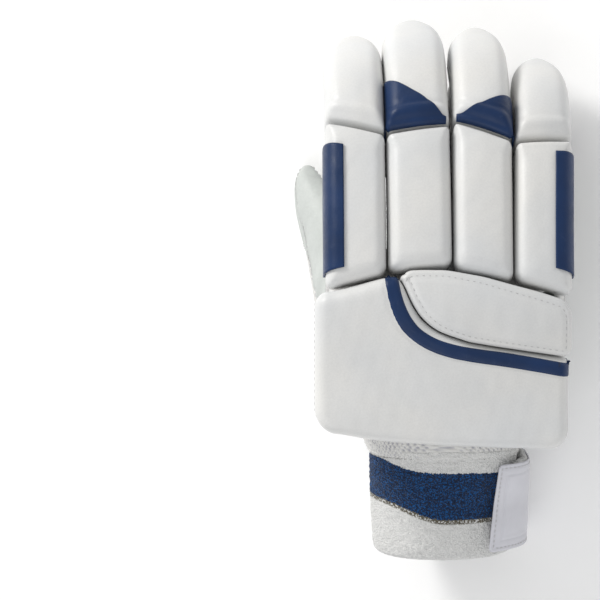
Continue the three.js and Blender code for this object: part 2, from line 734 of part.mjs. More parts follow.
// Thumb: a hollow leather and mesh tube sewn to a hole in the palm.
const thumbShell = largest(thumbTube(0).subtract(handBody(seamGap, 0)).subtract(thumbInside));
const farSide = [{ along: 1.4, bow: -1 }, { along: -0.6, bow: -1 }];
const shifted = (line, by) => line.map((p) => ({ along: p.along, bow: p.bow + by / thumbLength }));
const thumbBack = thumbPrism([...shifted(thumbSeam, -halfGap), ...farSide]);
const thumbBackWide = thumbPrism([...shifted(thumbSeam, halfGap), ...farSide]);
keep("thumb_leather", largest(thumbShell.subtract(thumbBackWide)), "palm_leather");
const patchCorner = [{ along: 1.4, bow: -0.6 }, { along: 1.4, bow: 0.2 }, { along: 0.562, bow: 0.2 }];
const slid = (line, by) => line.map((p) => ({ along: p.along + by / thumbLength, bow: p.bow }));
const patchZone = thumbPrism([...slid(thumbPatchSeam, halfGap), ...patchCorner]);
const patchZoneWide = thumbPrism([...slid(thumbPatchSeam, -halfGap), ...patchCorner]);
const thumbRear = thumbShell.intersect(thumbBack);
keep("thumb_tip_patch", largest(thumbRear.intersect(patchZone)), "palm_leather");
keep("thumb_mesh", largest(thumbRear.subtract(patchZoneWide)), "mesh_fabric");

// Finger pads, with the coloured triangles and side panels let into them.
for (const finger of fingers) {
  const mid = midPadSpec(finger);
  const tip = tipPadSpec(finger);
  const centre = centreOf(finger);
  const outer = finger.name === "index" ? -1 : 1; // side that faces away from the other fingers
  if (finger.name === "index" || finger.name === "little") {
    const edge = centre + outer * (mid.width / 2 - sidePanelFront);
    const far = centre + outer * mid.width;
    const [s1, s2] = [mid.from + padThickness * 0.2, mid.to - padThickness * 0.3];
    const region = (grow) => backPrism(finger, [
      [edge - outer * grow, s1 - grow],
      [edge - outer * grow, (s1 + s2) / 2],
      [edge - outer * grow, s2 + grow],
      [far, s2 + grow],
      [far, (s1 + s2) / 2],
      [far, s1 - grow],
    ]);
    const [rest, panel] = inlay(
      fingerPad(finger, mid, 0),
      fingerPad(finger, mid, inlayThickness),
      fingerPad(finger, mid, inlayThickness + 2 * seamGap),
      region(0),
      region(seamGap),
    );
    keep("mid_pad_" + finger.name, rest, "white_leather");
    keep("side_panel_" + finger.name, panel, "blue_leather");
    keep("tip_pad_" + finger.name, fingerPad(finger, tip, 0), "white_leather");
  } else {
    // A triangle across the foot of the tip pad, tall on the side away from the other middle finger.
    const side = finger.name === "middle" ? -1 : 1;
    const rise = finger.name === "middle" ? 0.31 : 0.235;
    const base = tip.from - padThickness;
    const length = tip.to - tip.from;
    const slope = tip.lowSlope * tip.width * 0.5;
    const region = (grow) => backPrism(finger, [
      [centre + side * tip.width, base],
      [centre + side * tip.width, tip.from + rise * length + grow],
      [centre + side * tip.width * 0.36, tip.from + rise * length * 0.94 + grow],
      [centre, tip.from + rise * length * 0.6 + grow],
      [centre - side * tip.width * 0.44, tip.from - side * slope + length * 0.05 + grow],
      [centre - side * tip.width * 0.44 - side * grow, base],
    ]);
    const [rest, panel] = inlay(
      fingerPad(finger, tip, 0),
      fingerPad(finger, tip, inlayThickness),
      fingerPad(finger, tip, inlayThickness + 2 * seamGap),
      region(0),
      region(seamGap),
    );
    keep("mid_pad_" + finger.name, fingerPad(finger, mid, 0), "white_leather");
    keep("tip_pad_" + finger.name, rest, "white_leather");
    keep("tip_triangle_" + finger.name, panel, "blue_leather");
  }
}

// Back of the hand: the knuckle pad, and the hand pad with its curved stripe.
const handPadSolid = (inset) => columnPad(insetEnds(handPadPlaces, inset), inset);
function stripeRegion(grow) {
  const half = stripeWidth / 2 + grow;
  const line = stripeLine.map((p) => new THREE.Vector2(handPadLeft + p.across * handPadWidth, p.up * handPadLength));
  const side = (way) => line.map((p, i) => {
    const tangent = line[Math.min(i + 1, line.length - 1)].clone().sub(line[Math.max(i - 1, 0)]).normalize();
    return [p.x - way * tangent.y * half, p.y + way * tangent.x * half];
  });
  return backPrism(fingers[1], [...side(1), ...side(-1).reverse()]);
}
const [handPad, stripe] = inlay(
  handPadSolid(0),
  handPadSolid(inlayThickness),
  handPadSolid(inlayThickness + 2 * seamGap),
  stripeRegion(0),
  stripeRegion(seamGap),
);
keep("hand_pad", handPad, "white_leather");
keep("hand_pad_stripe", stripe, "blue_leather");
keep("knuckle_pad", columnPad(knucklePlaces, 0), "white_leather");

// Cuff, its strap and the tab on the strap.
const cuffSolid = cuffTube(0, 0, cuffRows).subtract(cuffTube(-cuffWall, 2, cuffRows.map((row) => ({ ...row, draw: -Math.abs(row.draw) }))));
keep("cuff", largest(cuffSolid), "towelling");
const strapDepths = [0, tabMargin, strapWidth / 2, strapWidth - tabMargin, strapWidth].map((d) => d + strapDrop);
const strapInside = seamGap * 2;
const tabInside = strapInside + strapThickness + seamGap * 1.5;
keep("wrist_strap", cuffBand(
  strapStart, strapEnd, strapDepths, strapInside, strapInside + strapThickness, 0.1,
), "towelling");
keep("strap_tab", cuffBand(
  strapStart - tabMargin, tabEnd, strapDepths.slice(1, -1), tabInside, tabInside + tabThickness, 0,
), "tab_vinyl");

// Rest pose

// Corner points and volume centre of every part, in the glove's own frame.
function measure(solids) {
  const corners = [];
  const centre = new THREE.Vector3();
  let volume = 0;
  for (const solid of solids) {
    const mesh = solid.getMesh();
    const at = (i) => new THREE.Vector3().fromArray(mesh.vertProperties, i * mesh.numProp);
    for (let i = 0; i < mesh.numVert; i++) corners.push(at(i));
    for (let t = 0; t < mesh.triVerts.length; t += 3) {
      const [a, b, c] = [0, 1, 2].map((k) => at(mesh.triVerts[t + k]));
      const wedge = a.dot(b.clone().cross(c)) / 6;
      volume += wedge;
      centre.add(a.add(b).add(c).multiplyScalar(wedge / 4));
    }
  }
  return { corners, centre: centre.divideScalar(volume) };
}

// The face of the convex hull that the glove comes to rest on, palm down: the one under its centre.
function restingFace(corners, centre) {
  const hull = new ConvexHull().setFromPoints(corners);
  const ray = new THREE.Ray(centre, new THREE.Vector3(0, 0, -1));
  let best = null;
  let reach = Infinity;
  for (const face of hull.faces) {
    const plane = new THREE.Plane().setFromNormalAndCoplanarPoint(face.normal, face.edge.head().point);
    const t = ray.distanceToPlane(plane);
    if (face.normal.z < 0 && t !== null && t < reach) {
      reach = t;
      best = face;
    }
  }
  return best.normal.clone();
}

const { corners, centre: gloveCentre } = measure(parts.map((p) => p.solid));
const down = restingFace(corners, gloveCentre);
const up = down.clone().negate();
const forward = new THREE.Vector3(0, 1, 0).addScaledVector(up, -up.y).normalize();
const sideways = forward.clone().cross(up);
const lay = new THREE.Matrix4().makeBasis(sideways, forward, up).transpose();

// Flatten what touches the floor: the floor is raised by restPress and cuts the soft contact spots.
const lowest = Math.max(...corners.map((p) => p.dot(down)));
const floorLevel = lowest - restPress;
function floorSlab() {
  const reach = palmDepth * 10;
  const slab = new THREE.BoxGeometry(reach, reach, palmDepth).toNonIndexed();
  slab.translate(0, 0, -palmDepth / 2);
  slab.applyMatrix4(lay.clone().transpose());
  slab.translate(...down.clone().multiplyScalar(floorLevel).toArray());
  return solidOfGeometry(slab);
}
const floor = floorSlab();

const box = new THREE.Box3();
for (const part of parts) {
  const flattened = part.solid.subtract(floor);
  const touches = flattened.volume() < part.solid.volume();
  part.solid = largest(touches ? flattened.simplify(crumb) : flattened);
  const mesh = part.solid.getMesh();
  const positions = new Float32Array(mesh.numVert * 3);
  for (let i = 0; i < mesh.numVert; i++) {
    positions.set(mesh.vertProperties.subarray(i * mesh.numProp, i * mesh.numProp + 3), i * 3);
  }
  const geometry = new THREE.BufferGeometry();
  geometry.setAttribute("position", new THREE.BufferAttribute(positions, 3));
  geometry.setIndex(new THREE.BufferAttribute(mesh.triVerts, 1));
  geometry.applyMatrix4(lay);
  geometry.computeVertexNormals();
  geometry.computeBoundingBox();
  box.union(geometry.boundingBox);
  const piece = new THREE.Mesh(geometry, materials[part.material]);
  piece.name = part.name;
  glove.add(piece);
}

// The origin is on the floor, under the middle of the glove's box.
const middle = box.getCenter(new THREE.Vector3());
glove.position.set(-middle.x, -middle.y, -box.min.z);
glove.name = "cricket_batting_glove";

export default glove;
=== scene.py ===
"""Cricket batting glove for the right hand: the visible pieces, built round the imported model.

Lengths are millimetres in the glove's own flat frame (x across, s along the back, h out of the back), and
are curled with the fingers, laid down and turned into metres when a mesh is made.
"""

import math

import bpy
import numpy as np
from mathutils import Matrix, Vector
from mathutils.bvhtree import BVHTree


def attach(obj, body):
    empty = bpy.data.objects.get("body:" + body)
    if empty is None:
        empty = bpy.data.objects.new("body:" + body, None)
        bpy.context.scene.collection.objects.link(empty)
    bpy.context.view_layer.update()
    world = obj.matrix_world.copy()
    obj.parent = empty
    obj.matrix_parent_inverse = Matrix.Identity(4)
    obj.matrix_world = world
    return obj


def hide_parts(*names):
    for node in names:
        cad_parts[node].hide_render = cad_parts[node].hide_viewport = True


bl_info = {
    "name": "Batting glove",
    "version": (1, 0, 0),
    "blender": (4, 5, 0),
    "location": "3D View > Sidebar > Glove",
    "description": "Builds a padded batting glove round its packed solids",
    "category": "Object",
}

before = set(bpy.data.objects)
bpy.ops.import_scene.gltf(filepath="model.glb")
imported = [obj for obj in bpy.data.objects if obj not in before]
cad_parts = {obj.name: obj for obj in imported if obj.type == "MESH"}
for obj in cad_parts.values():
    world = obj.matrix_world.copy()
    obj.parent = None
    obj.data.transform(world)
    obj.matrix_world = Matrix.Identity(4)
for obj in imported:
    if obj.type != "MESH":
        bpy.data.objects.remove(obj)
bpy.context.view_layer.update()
MM = 0.001

# Sizes shared with the solids.
HAND_WIDTH = 124.0
KNUCKLE_LINE = 80.0
FINGER_LENGTH = 158.0
PALM_DEPTH = 62.0
BACK_RADIUS = 560.0
BACK_HEIGHT = PALM_DEPTH * 0.53
SEAM = 0.6  # the pads stand this far off the back
PAD_THICKNESS = 22.5
TIP_THICKNESS = 24.5
MID_WIDTH = 30.0
TIP_WIDTH = 30.2
JOINT_GROOVE = 1.2
HAND_PAD_LEFT = -65.7
HAND_PAD_WIDTH = 124.5
HAND_PAD_LENGTH = 80.0
KNUCKLE_PAD_WIDTH = 84.5
KNUCKLE_PAD_LENGTH = 38.0
KNUCKLE_GROOVE = 0.8
STRIPE_WIDTH = 7.4
STITCH_INSET = 3.0  # from the knuckle pad's edge to its stitches
SIDE_PANEL_FRONT = 9.0
WRIST_SEAM = -8.0
CUFF_WIDTH = 74.0
CUFF_DEPTH = 61.0
CUFF_LENGTH = 52.0
CUFF_LEAN = -1.5
STRAP_WIDTH = 47.0
STRAP_DROP = 0.8
TAB_OUT = 4.85  # from the cuff's wall to the tab's face
TAB_START, TAB_END = 52, -32  # degrees round the wrist
TAB_SEAM = 1.9  # from the tab's edge to its stitches
OFF_BAND = -9.0  # a value far from the navy band, for towelling without one
THUMB_LENGTH = 112.0
THUMB_WIDTH = 58.0
THUMB_THICKNESS = 31.0
THUMB_LEAN = 37.7

# How the glove lies on the floor: its up direction in its own frame, and where its origin comes to.
REST_UP = np.array([-0.3099449, 0.1691267, 0.9355909])
REST_PLACE = np.array([13.3469, -74.2959, 43.7321])
REST_FORWARD = np.array([0.0, 1.0, 0.0]) - REST_UP * REST_UP[1]
REST_FORWARD /= np.linalg.norm(REST_FORWARD)
REST_TURN = np.array([np.cross(REST_FORWARD, REST_UP), REST_FORWARD, REST_UP])

# Across and fan are shares of the hand's width, width is a factor on the rolls, foot, joint and tip are
# shares of the finger's length, and low and high are the slopes of the long roll's two ends.
FINGER_KEYS = ("across", "fan", "width", "foot", "joint", "tip", "low", "high")
FINGERS = {name_: dict(zip(FINGER_KEYS, values_)) for name_, *values_ in (
    ("index", -0.367, -0.005, 0.99, 0.005, 0.4715, 0.925, 0.206, -0.2),
    ("middle", -0.1137, -0.007, 1.045, 0.04, 0.462, 0.98, 0.08, 0.1),
    ("ring", 0.1371, 0.008, 0.975, 0.022, 0.456, 0.95, -0.185, -0.26),
    ("little", 0.3742, 0.03, 0.94, -0.013, 0.427, 0.84, -0.224, 0.05),
)}
FLOOR_GAP = 0.0001  # metres between the floor and the lowest place of any piece
TOP_POWER, PALM_POWER = 3.6, 2.7  # how square the hand's section is towards the back and the palm
BORDER = 5.5  # width of the rows that follow a pad's shoulder


# Small mathematics

def ease(t):
    """0 below 0, 1 above 1, and a smooth step between."""
    t = np.clip(t, 0.0, 1.0)
    return t * t * (3 - 2 * t)


def bell(x, at, width):
    return np.exp(-(((x - at) / width) ** 2))


def signed_power(v, power):
    return np.sign(v) * np.abs(v) ** power


def steady(value):
    """A measure that is the same at every place of a pad."""
    return lambda x, s: value + 0 * x


def rounded_corner(a, b, reach_a, reach_b):
    """Where places lie inside a corner, and their distances from its two edges once it is rounded."""
    u, v = (reach_a - a) / reach_a, (reach_b - b) / reach_b
    inside = (u > 0) & (v > 0)
    u, v = np.maximum(u, 0), np.maximum(v, 0)
    scale = np.where(inside, np.maximum(u, v) / np.maximum(np.hypot(u, v), 1e-9), 1)
    return inside, reach_a - reach_a * u * scale, reach_b - reach_b * v * scale


def distance_to(path, x, s):
    """Distance of plan places from a path of plan places."""
    best = np.full(np.shape(x), 1e9)
    for (ax, ay), (rx, ry) in zip(path[:-1], np.diff(path, axis=0)):
        t = np.clip(((x - ax) * rx + (s - ay) * ry) / max(rx * rx + ry * ry, 1e-12), 0, 1)
        best = np.minimum(best, (x - ax - t * rx) ** 2 + (s - ay - t * ry) ** 2)
    return np.sqrt(best)


def spline(xs, ys, x):
    """Natural cubic through a short table, read at many places."""
    xs, ys, x = (np.asarray(v, float) for v in (xs, ys, x))
    n = len(xs)
    step = np.diff(xs)
    system, right = np.eye(n), np.zeros(n)
    for i in range(1, n - 1):
        system[i, i - 1: i + 2] = step[i - 1], 2 * (step[i - 1] + step[i]), step[i]
        right[i] = 6 * ((ys[i + 1] - ys[i]) / step[i] - (ys[i] - ys[i - 1]) / step[i - 1])
    bend = np.linalg.solve(system, right)
    i = np.clip(np.searchsorted(xs, x) - 1, 0, n - 2)
    a, b = (xs[i + 1] - x) / step[i], (x - xs[i]) / step[i]
    cubic = ((a**3 - a) * bend[i] + (b**3 - b) * bend[i + 1]) * step[i] ** 2 / 6
    return a * ys[i] + b * ys[i + 1] + cubic


def waves(points, size, seed, count=9):
    """Soft noise from -1 to 1: a sum of slanted waves about size long."""
    rng = np.random.default_rng(seed)
    ways = rng.normal(size=(count, points.shape[-1]))
    ways /= np.linalg.norm(ways, axis=1)[:, None]
    lengths = size * rng.uniform(0.7, 1.5, count)
    phases = rng.uniform(0, 2 * math.pi, count)
    total = sum(np.sin(points @ way * (2 * math.pi / size_) + phase)
                for way, size_, phase in zip(ways, lengths, phases))
    return total / math.sqrt(count) / 1.6


def scatter(u, v, seed):
    """A different number from -1 to 1 for every whole cell, blended smoothly between cells."""
    def cell(i, j):
        mixed = np.sin(i * 127.1 + j * 311.7 + seed * 74.7) * 43758.5453
        return (mixed - np.floor(mixed)) * 2 - 1
    i, j = np.floor(u), np.floor(v)
    a, b = ease(u - i), ease(v - j)
    low = cell(i, j) * (1 - a) + cell(i + 1, j) * a
    high = cell(i, j + 1) * (1 - a) + cell(i + 1, j + 1) * a
    return low * (1 - b) + high * b


# The curled back of the hand

def along_finger(share):
    return KNUCKLE_LINE + share * FINGER_LENGTH


def curl_angle(finger, s):
    bends = (
        (KNUCKLE_LINE - 0.041 * FINGER_LENGTH, 18, 0.164),
        (along_finger(0.27), 6, 0.27),
        (along_finger(finger["joint"]), 18, 0.164),
        (along_finger(finger["tip"] - 0.275), 34, 0.2),
    )
    total = sum(turn * ease((s - at) / (span * FINGER_LENGTH) + 0.5) for at, turn, span in bends)
    return np.radians(total)


CURVE_S = np.arange(0.0, 300.0, 1.0)
CURVES = {}
for name_, finger_ in FINGERS.items():
    angle_ = curl_angle(finger_, CURVE_S[:-1] + 0.5)
    CURVES[name_] = (
        np.concatenate([[0], np.cumsum(np.cos(angle_))]),
        BACK_HEIGHT - np.concatenate([[0], np.cumsum(np.sin(angle_))]),
    )


def over(name, x, s, h):
    """A place over the back of one finger, in the glove's own frame."""
    x, s, h = np.broadcast_arrays(*(np.asarray(v, float) for v in (x, s, h)))
    finger = FINGERS[name]
    drop = x * x / (2 * BACK_RADIUS) * ease(s / (KNUCKLE_LINE * 0.5))
    fan = finger["fan"] * HAND_WIDTH * ease((s - KNUCKLE_LINE) / FINGER_LENGTH)
    ys, zs = CURVES[name]
    y = np.interp(s, CURVE_S, ys) + np.minimum(s, 0)
    z = np.interp(s, CURVE_S, zs)
    angle = curl_angle(finger, s)
    return np.stack([x + fan, y + (h - drop) * np.sin(angle), z + (h - drop) * np.cos(angle)], -1)


def flat_places(points):
    """Which finger, and x, s and h, of places in the glove's own frame."""
    names = list(FINGERS)
    centres = np.array([FINGERS[n]["across"] for n in names]) * HAND_WIDTH
    reach = ease((points[:, 1] - KNUCKLE_LINE) / (FINGER_LENGTH * 0.85))
    fans = np.array([FINGERS[n]["fan"] for n in names]) * HAND_WIDTH
    which = np.abs(points[:, :1] - centres - fans * reach[:, None]).argmin(1)
    s, h = np.zeros(len(points)), np.zeros(len(points))
    for k, name in enumerate(names):
        chosen = np.flatnonzero(which == k)
        ys, zs = CURVES[name]
        for part in np.array_split(chosen, max(1, len(chosen) // 4000)):
            y, z = points[part, 1], points[part, 2]
            near = ((y[:, None] - ys) ** 2 + (z[:, None] - zs) ** 2).argmin(1)
            angle = curl_angle(FINGERS[name], CURVE_S[near])
            dy, dz = y - ys[near], z - zs[near]
            s[part] = CURVE_S[near] + dy * np.cos(angle) - dz * np.sin(angle)
            h[part] = dy * np.sin(angle) + dz * np.cos(angle)
            before = y < 0
            s[part] = np.where(before, y, s[part])
            h[part] = np.where(before, z - BACK_HEIGHT, h[part])
    drop = points[:, 0] ** 2 / (2 * BACK_RADIUS) * ease(s / (KNUCKLE_LINE * 0.5))
    return which, points[:, 0], s, h + drop


def lay(points):
    """From the glove's own frame in millimetres to the floor's frame in metres."""
    flat = np.asarray(points, float).reshape(-1, 3)
    return (flat @ REST_TURN.T + REST_PLACE) * MM


def unlay(points):
    return (np.asarray(points, float) / MM - REST_PLACE) @ REST_TURN


# Meshes

def make_object(name, points, faces, finish, attributes=None):
    """A mesh object from places in the glove's own frame, resting on the floor and not in it."""
    placed = lay(points)
    placed[:, 2] = np.maximum(placed[:, 2], FLOOR_GAP)
    mesh = bpy.data.meshes.new(name)
    mesh.from_pydata(placed.tolist(), [], [tuple(f) for f in faces])
    for key, values in (attributes or {}).items():
        layer = mesh.attributes.new(key, "FLOAT", "POINT")
        layer.data.foreach_set("value", np.asarray(values, np.float32).ravel())
    mesh.polygons.foreach_set("use_smooth", [True] * len(mesh.polygons))
    mesh.materials.append(finish)
    mesh.update()
    mesh.validate()
    made = bpy.data.objects.new(name, mesh)
    bpy.context.scene.collection.objects.link(made)
    return made


def settle(made, slot, *nodes, fill=None):
    """Put a finished piece on the glove."""
    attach(made, "root")
    if nodes:
        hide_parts(*nodes)
    return made


def grid_faces(rows, columns, start=0, close=False):
    """Quads of a grid of vertices, row after row."""
    i, j = np.meshgrid(np.arange(rows - 1), np.arange(columns if close else columns - 1), indexing="ij")
    k = (j + 1) % columns
    quads = np.stack([i * columns + j, i * columns + k, (i + 1) * columns + k, (i + 1) * columns + j], -1)
    return quads.reshape(-1, 4) + start


def rim_of(rows, columns):
    """Indices round the border of a grid, in order."""
    top = [(0, j) for j in range(columns)]
    right = [(i, columns - 1) for i in range(1, rows)]
    bottom = [(rows - 1, j) for j in range(columns - 2, -1, -1)]
    left = [(i, 0) for i in range(rows - 2, 0, -1)]
    return np.array([i * columns + j for i, j in top + right + bottom + left])


def strips(rings, start, flip=False):
    """Quads between loops of vertices with the same count, given as index arrays."""
    faces = []
    for a, b in zip(rings[:-1], rings[1:]):
        quads = np.stack([a, np.roll(a, -1), np.roll(b, -1), b], 1)
        faces.append(quads[:, ::-1] if flip else quads)
    return np.concatenate(faces) + start


def normals_of(grid):
    """Unit normals of a grid of points (rows, columns, 3)."""
    du, dv = np.gradient(grid, axis=0), np.gradient(grid, axis=1)
    n = np.cross(dv, du)
    return n / np.maximum(np.linalg.norm(n, axis=2), 1e-9)[..., None]


def skin(grid, thickness, proud=0.0, dive=0.5, flip=False):
    """Points and faces of a thin closed piece over a grid: its edges dip into the seam round it."""
    rows, columns = grid.shape[:2]
    n = normals_of(grid) * (-1 if flip else 1)
    lift = np.full((rows, columns), proud)
    lift[[0, -1], :] -= dive
    lift[:, [0, -1]] = np.minimum(lift[:, [0, -1]], proud - dive)
    lift[[1, -2], 1:-1] = proud - dive * 0.25
    lift[1:-1, [1, -2]] = np.minimum(lift[1:-1, [1, -2]], proud - dive * 0.25)
    outer = grid + n * lift[..., None]
    inner = grid - n * thickness
    count = rows * columns
    faces = grid_faces(rows, columns)
    back = grid_faces(rows, columns, count)[:, ::-1]
    rim = rim_of(rows, columns)
    sides = strips([rim, rim + count], 0, flip=True)
    faces = np.concatenate([faces, back, sides])
    if not flip:
        faces = faces[:, ::-1]
    return np.concatenate([outer.reshape(-1, 3), inner.reshape(-1, 3)]), faces


STITCH_SIDES = 6
# Share of the length, width and rise of each section of one stitch.
STITCH_SHAPE = np.array([
    (0.0, 0.35, -0.6), (0.16, 0.85, 0.35), (0.5, 1.0, 0.75), (0.84, 0.85, 0.35), (1.0, 0.35, -0.6),
])


def stitches(path, ups, length=2.1, gap=1.0, radius=0.27, sink=0.1):
    """Short rounded thread ends along a path, all in one mesh."""
    steps = np.linalg.norm(np.diff(path, axis=0), axis=1)
    walk = np.concatenate([[0], np.cumsum(steps)])
    starts = np.arange(gap / 2, walk[-1] - length, length + gap)
    share, width, rise = STITCH_SHAPE.T
    sections = len(STITCH_SHAPE)
    last = (sections - 1) * STITCH_SIDES
    turns = np.arange(STITCH_SIDES) * 2 * math.pi / STITCH_SIDES
    points, faces = [], []
    for start in starts:
        at = start + share * length
        centre = np.stack([np.interp(at, walk, path[:, k]) for k in range(3)], 1)
        up = np.stack([np.interp(at, walk, ups[:, k]) for k in range(3)], 1)
        up /= np.linalg.norm(up, axis=1)[:, None]
        run = centre[-1] - centre[0]
        side = np.cross(run / np.linalg.norm(run), up)
        base = len(points) * sections * STITCH_SIDES
        spoke = side[:, None] * np.cos(turns)[None, :, None] + up[:, None] * np.sin(turns)[None, :, None]
        spine = centre + up * (rise * radius - sink)[:, None]
        ring = spine[:, None] + spoke * (width * radius)[:, None, None]
        points.append(ring.reshape(-1, 3))
        faces += [tuple(f) for f in grid_faces(sections, STITCH_SIDES, base, close=True)]
        faces.append(tuple(range(base + STITCH_SIDES - 1, base - 1, -1)))
        faces.append(tuple(range(base + last, base + last + STITCH_SIDES)))
    return np.concatenate(points), faces


# Finishes

class Nodes:
    """Small helper that adds and links shader nodes."""

    def __init__(self, name):
        self.material = bpy.data.materials.new(name)
        self.material.use_nodes = True
        self.tree = self.material.node_tree
        self.shader = self.tree.nodes["Principled BSDF"]
        self.place = self.tree.nodes.new("ShaderNodeTexCoord").outputs["Object"]

    def add(self, kind, inputs=(), **settings):
        node = self.tree.nodes.new("ShaderNode" + kind)
        for key, value in settings.items():
            setattr(node, key, value)
        for key, value in dict(inputs).items():
            if isinstance(value, bpy.types.NodeSocket):
                self.tree.links.new(value, node.inputs[key])
            else:
                node.inputs[key].default_value = value
        return node

    def noise(self, size, detail=2.0, rough=0.5, place=None):
        return self.add("TexNoise", {"Vector": place or self.place, "Scale": 1 / (size * MM),
                                     "Detail": detail, "Roughness": rough}).outputs["Fac"]

    def cells(self, size, feature="F1", place=None):
        inputs = {"Vector": place or self.place, "Scale": 1 / (size * MM)}
        return self.add("TexVoronoi", inputs, feature=feature).outputs["Distance"]

    def math(self, operation, a, b=0.0):
        return self.add("Math", {0: a, 1: b}, operation=operation).outputs[0]

    def spread(self, value, low, high, to_low, to_high):
        return self.add("MapRange", {"Value": value, "From Min": low, "From Max": high,
                                     "To Min": to_low, "To Max": to_high}).outputs["Result"]

    def mix(self, share, a, b):
        return self.add("Mix", {0: share, 6: a, 7: b}, data_type="RGBA").outputs[2]

    def value(self, name):
        return self.add("Attribute", attribute_name=name).outputs["Fac"]

    def bump(self, height, depth, strength=1.0, under=None):
        inputs = {"Height": height, "Distance": depth * MM, "Strength": strength}
        if under is not None:
            inputs["Normal"] = under
        return self.add("Bump", inputs).outputs["Normal"]

    def finish(self, color, roughness, normal, **fixed):
        for key, value in (("Base Color", color), ("Roughness", roughness), ("Normal", normal)):
            self.tree.links.new(value, self.shader.inputs[key])
        for key, value in fixed.items():
            self.shader.inputs[key.replace("_", " ")].default_value = value
        return self.material


def shade(color, factor):
    return tuple(c * factor for c in color[:3]) + (1.0,)


def leather(name, color, shadow, grain=0.85, depth=0.05, rough=(0.36, 0.5), crease=9.0):
    n = Nodes(name)
    pebble = n.cells(grain, "SMOOTH_F1")
    fine = n.noise(0.35, 3.0, 0.6)
    soft = n.noise(crease, 4.0, 0.62)
    broad = n.noise(38.0, 2.0)
    tone = n.mix(n.spread(broad, 0.35, 0.68, 0, 1), color, shadow)
    pores = n.mix(n.spread(pebble, 0.1, 0.75, 0.0, 0.22), tone, shade(shadow, 0.82))
    gloss = n.spread(n.math("ADD", soft, n.math("MULTIPLY", fine, 0.6)), 0.5, 1.15, *rough)
    normal = n.bump(soft, 0.32, 0.35)
    normal = n.bump(n.math("ADD", pebble, n.math("MULTIPLY", fine, 0.5)), depth, 0.75, normal)
    return n.finish(pores, gloss, normal, Coat_Weight=0.06, Coat_Roughness=0.35, Specular_IOR_Level=0.42)


def navy_leather(name, color, worn):
    n = Nodes(name)
    pebble = n.cells(0.75, "SMOOTH_F1")
    fine = n.noise(0.3, 3.0, 0.65)
    scuff = n.noise(6.0, 5.0, 0.7)
    tone = n.mix(n.spread(n.noise(25.0, 3.0), 0.35, 0.7, 0, 1), color, shade(color, 1.35))
    rubbed = n.math("MULTIPLY", n.spread(scuff, 0.56, 0.74, 0, 0.5), n.spread(fine, 0.4, 0.75, 0, 1))
    normal = n.bump(scuff, 0.25, 0.3)
    normal = n.bump(n.math("ADD", pebble, fine), 0.06, 0.8, normal)
    return n.finish(n.mix(rubbed, tone, worn), n.spread(scuff, 0.35, 0.7, 0.34, 0.52), normal,
                    Specular_IOR_Level=0.32)


def ribbed_knit(name, white, navy, khaki):
    """Knitted side band: across runs from 0 at its lower edge to 1 at its upper edge."""
    n = Nodes(name)
    across, run = n.value("across"), n.value("run")
    ribs = n.math("SINE", n.math("MULTIPLY", across, 2 * math.pi * 17))
    wales = n.math("SINE", n.math("MULTIPLY", run, 2 * math.pi / 0.9))
    stripes = n.add("ValToRGB", {"Fac": across})
    ramp = stripes.color_ramp
    ramp.interpolation = "CONSTANT"
    places = (
        (0.0, white), (0.3, khaki), (0.36, shade(khaki, 0.55)), (0.38, khaki), (0.45, navy), (0.74, white),
    )
    while len(ramp.elements) < len(places):
        ramp.elements.new(0.5)
    for element, (place, color) in zip(ramp.elements, places):
        element.position = place
        element.color = color
    knit = n.math("MULTIPLY", n.spread(ribs, -1, 1, 0.2, 1), n.spread(wales, -1, 1, 0.6, 1))
    shadow = n.mix(n.spread(knit, 0.1, 1.0, 0.42, 0.0), stripes.outputs["Color"], (0.12, 0.12, 0.16, 1))
    normal = n.bump(n.math("ADD", knit, n.math("MULTIPLY", n.noise(0.4), 0.3)), 0.5, 0.8)
    return n.finish(shadow, n.spread(knit, 0, 1, 0.95, 0.8), normal, Sheen_Weight=0.08, Sheen_Roughness=0.5,
                    Specular_IOR_Level=0.2)


def open_mesh(name, color, hollow):
    n = Nodes(name)
    deep = n.value("deep")
    thread = n.noise(0.45, 3.0, 0.6)
    cloth = n.mix(n.spread(thread, 0.3, 0.7, 0, 0.3), color, shade(color, 0.8))
    shadow = n.mix(n.spread(deep, 0.15, 0.95, 0.0, 0.85), cloth, hollow)
    normal = n.bump(thread, 0.2, 0.7)
    return n.finish(shadow, n.spread(thread, 0.3, 0.7, 0.75, 0.92), normal, Sheen_Weight=0.15)


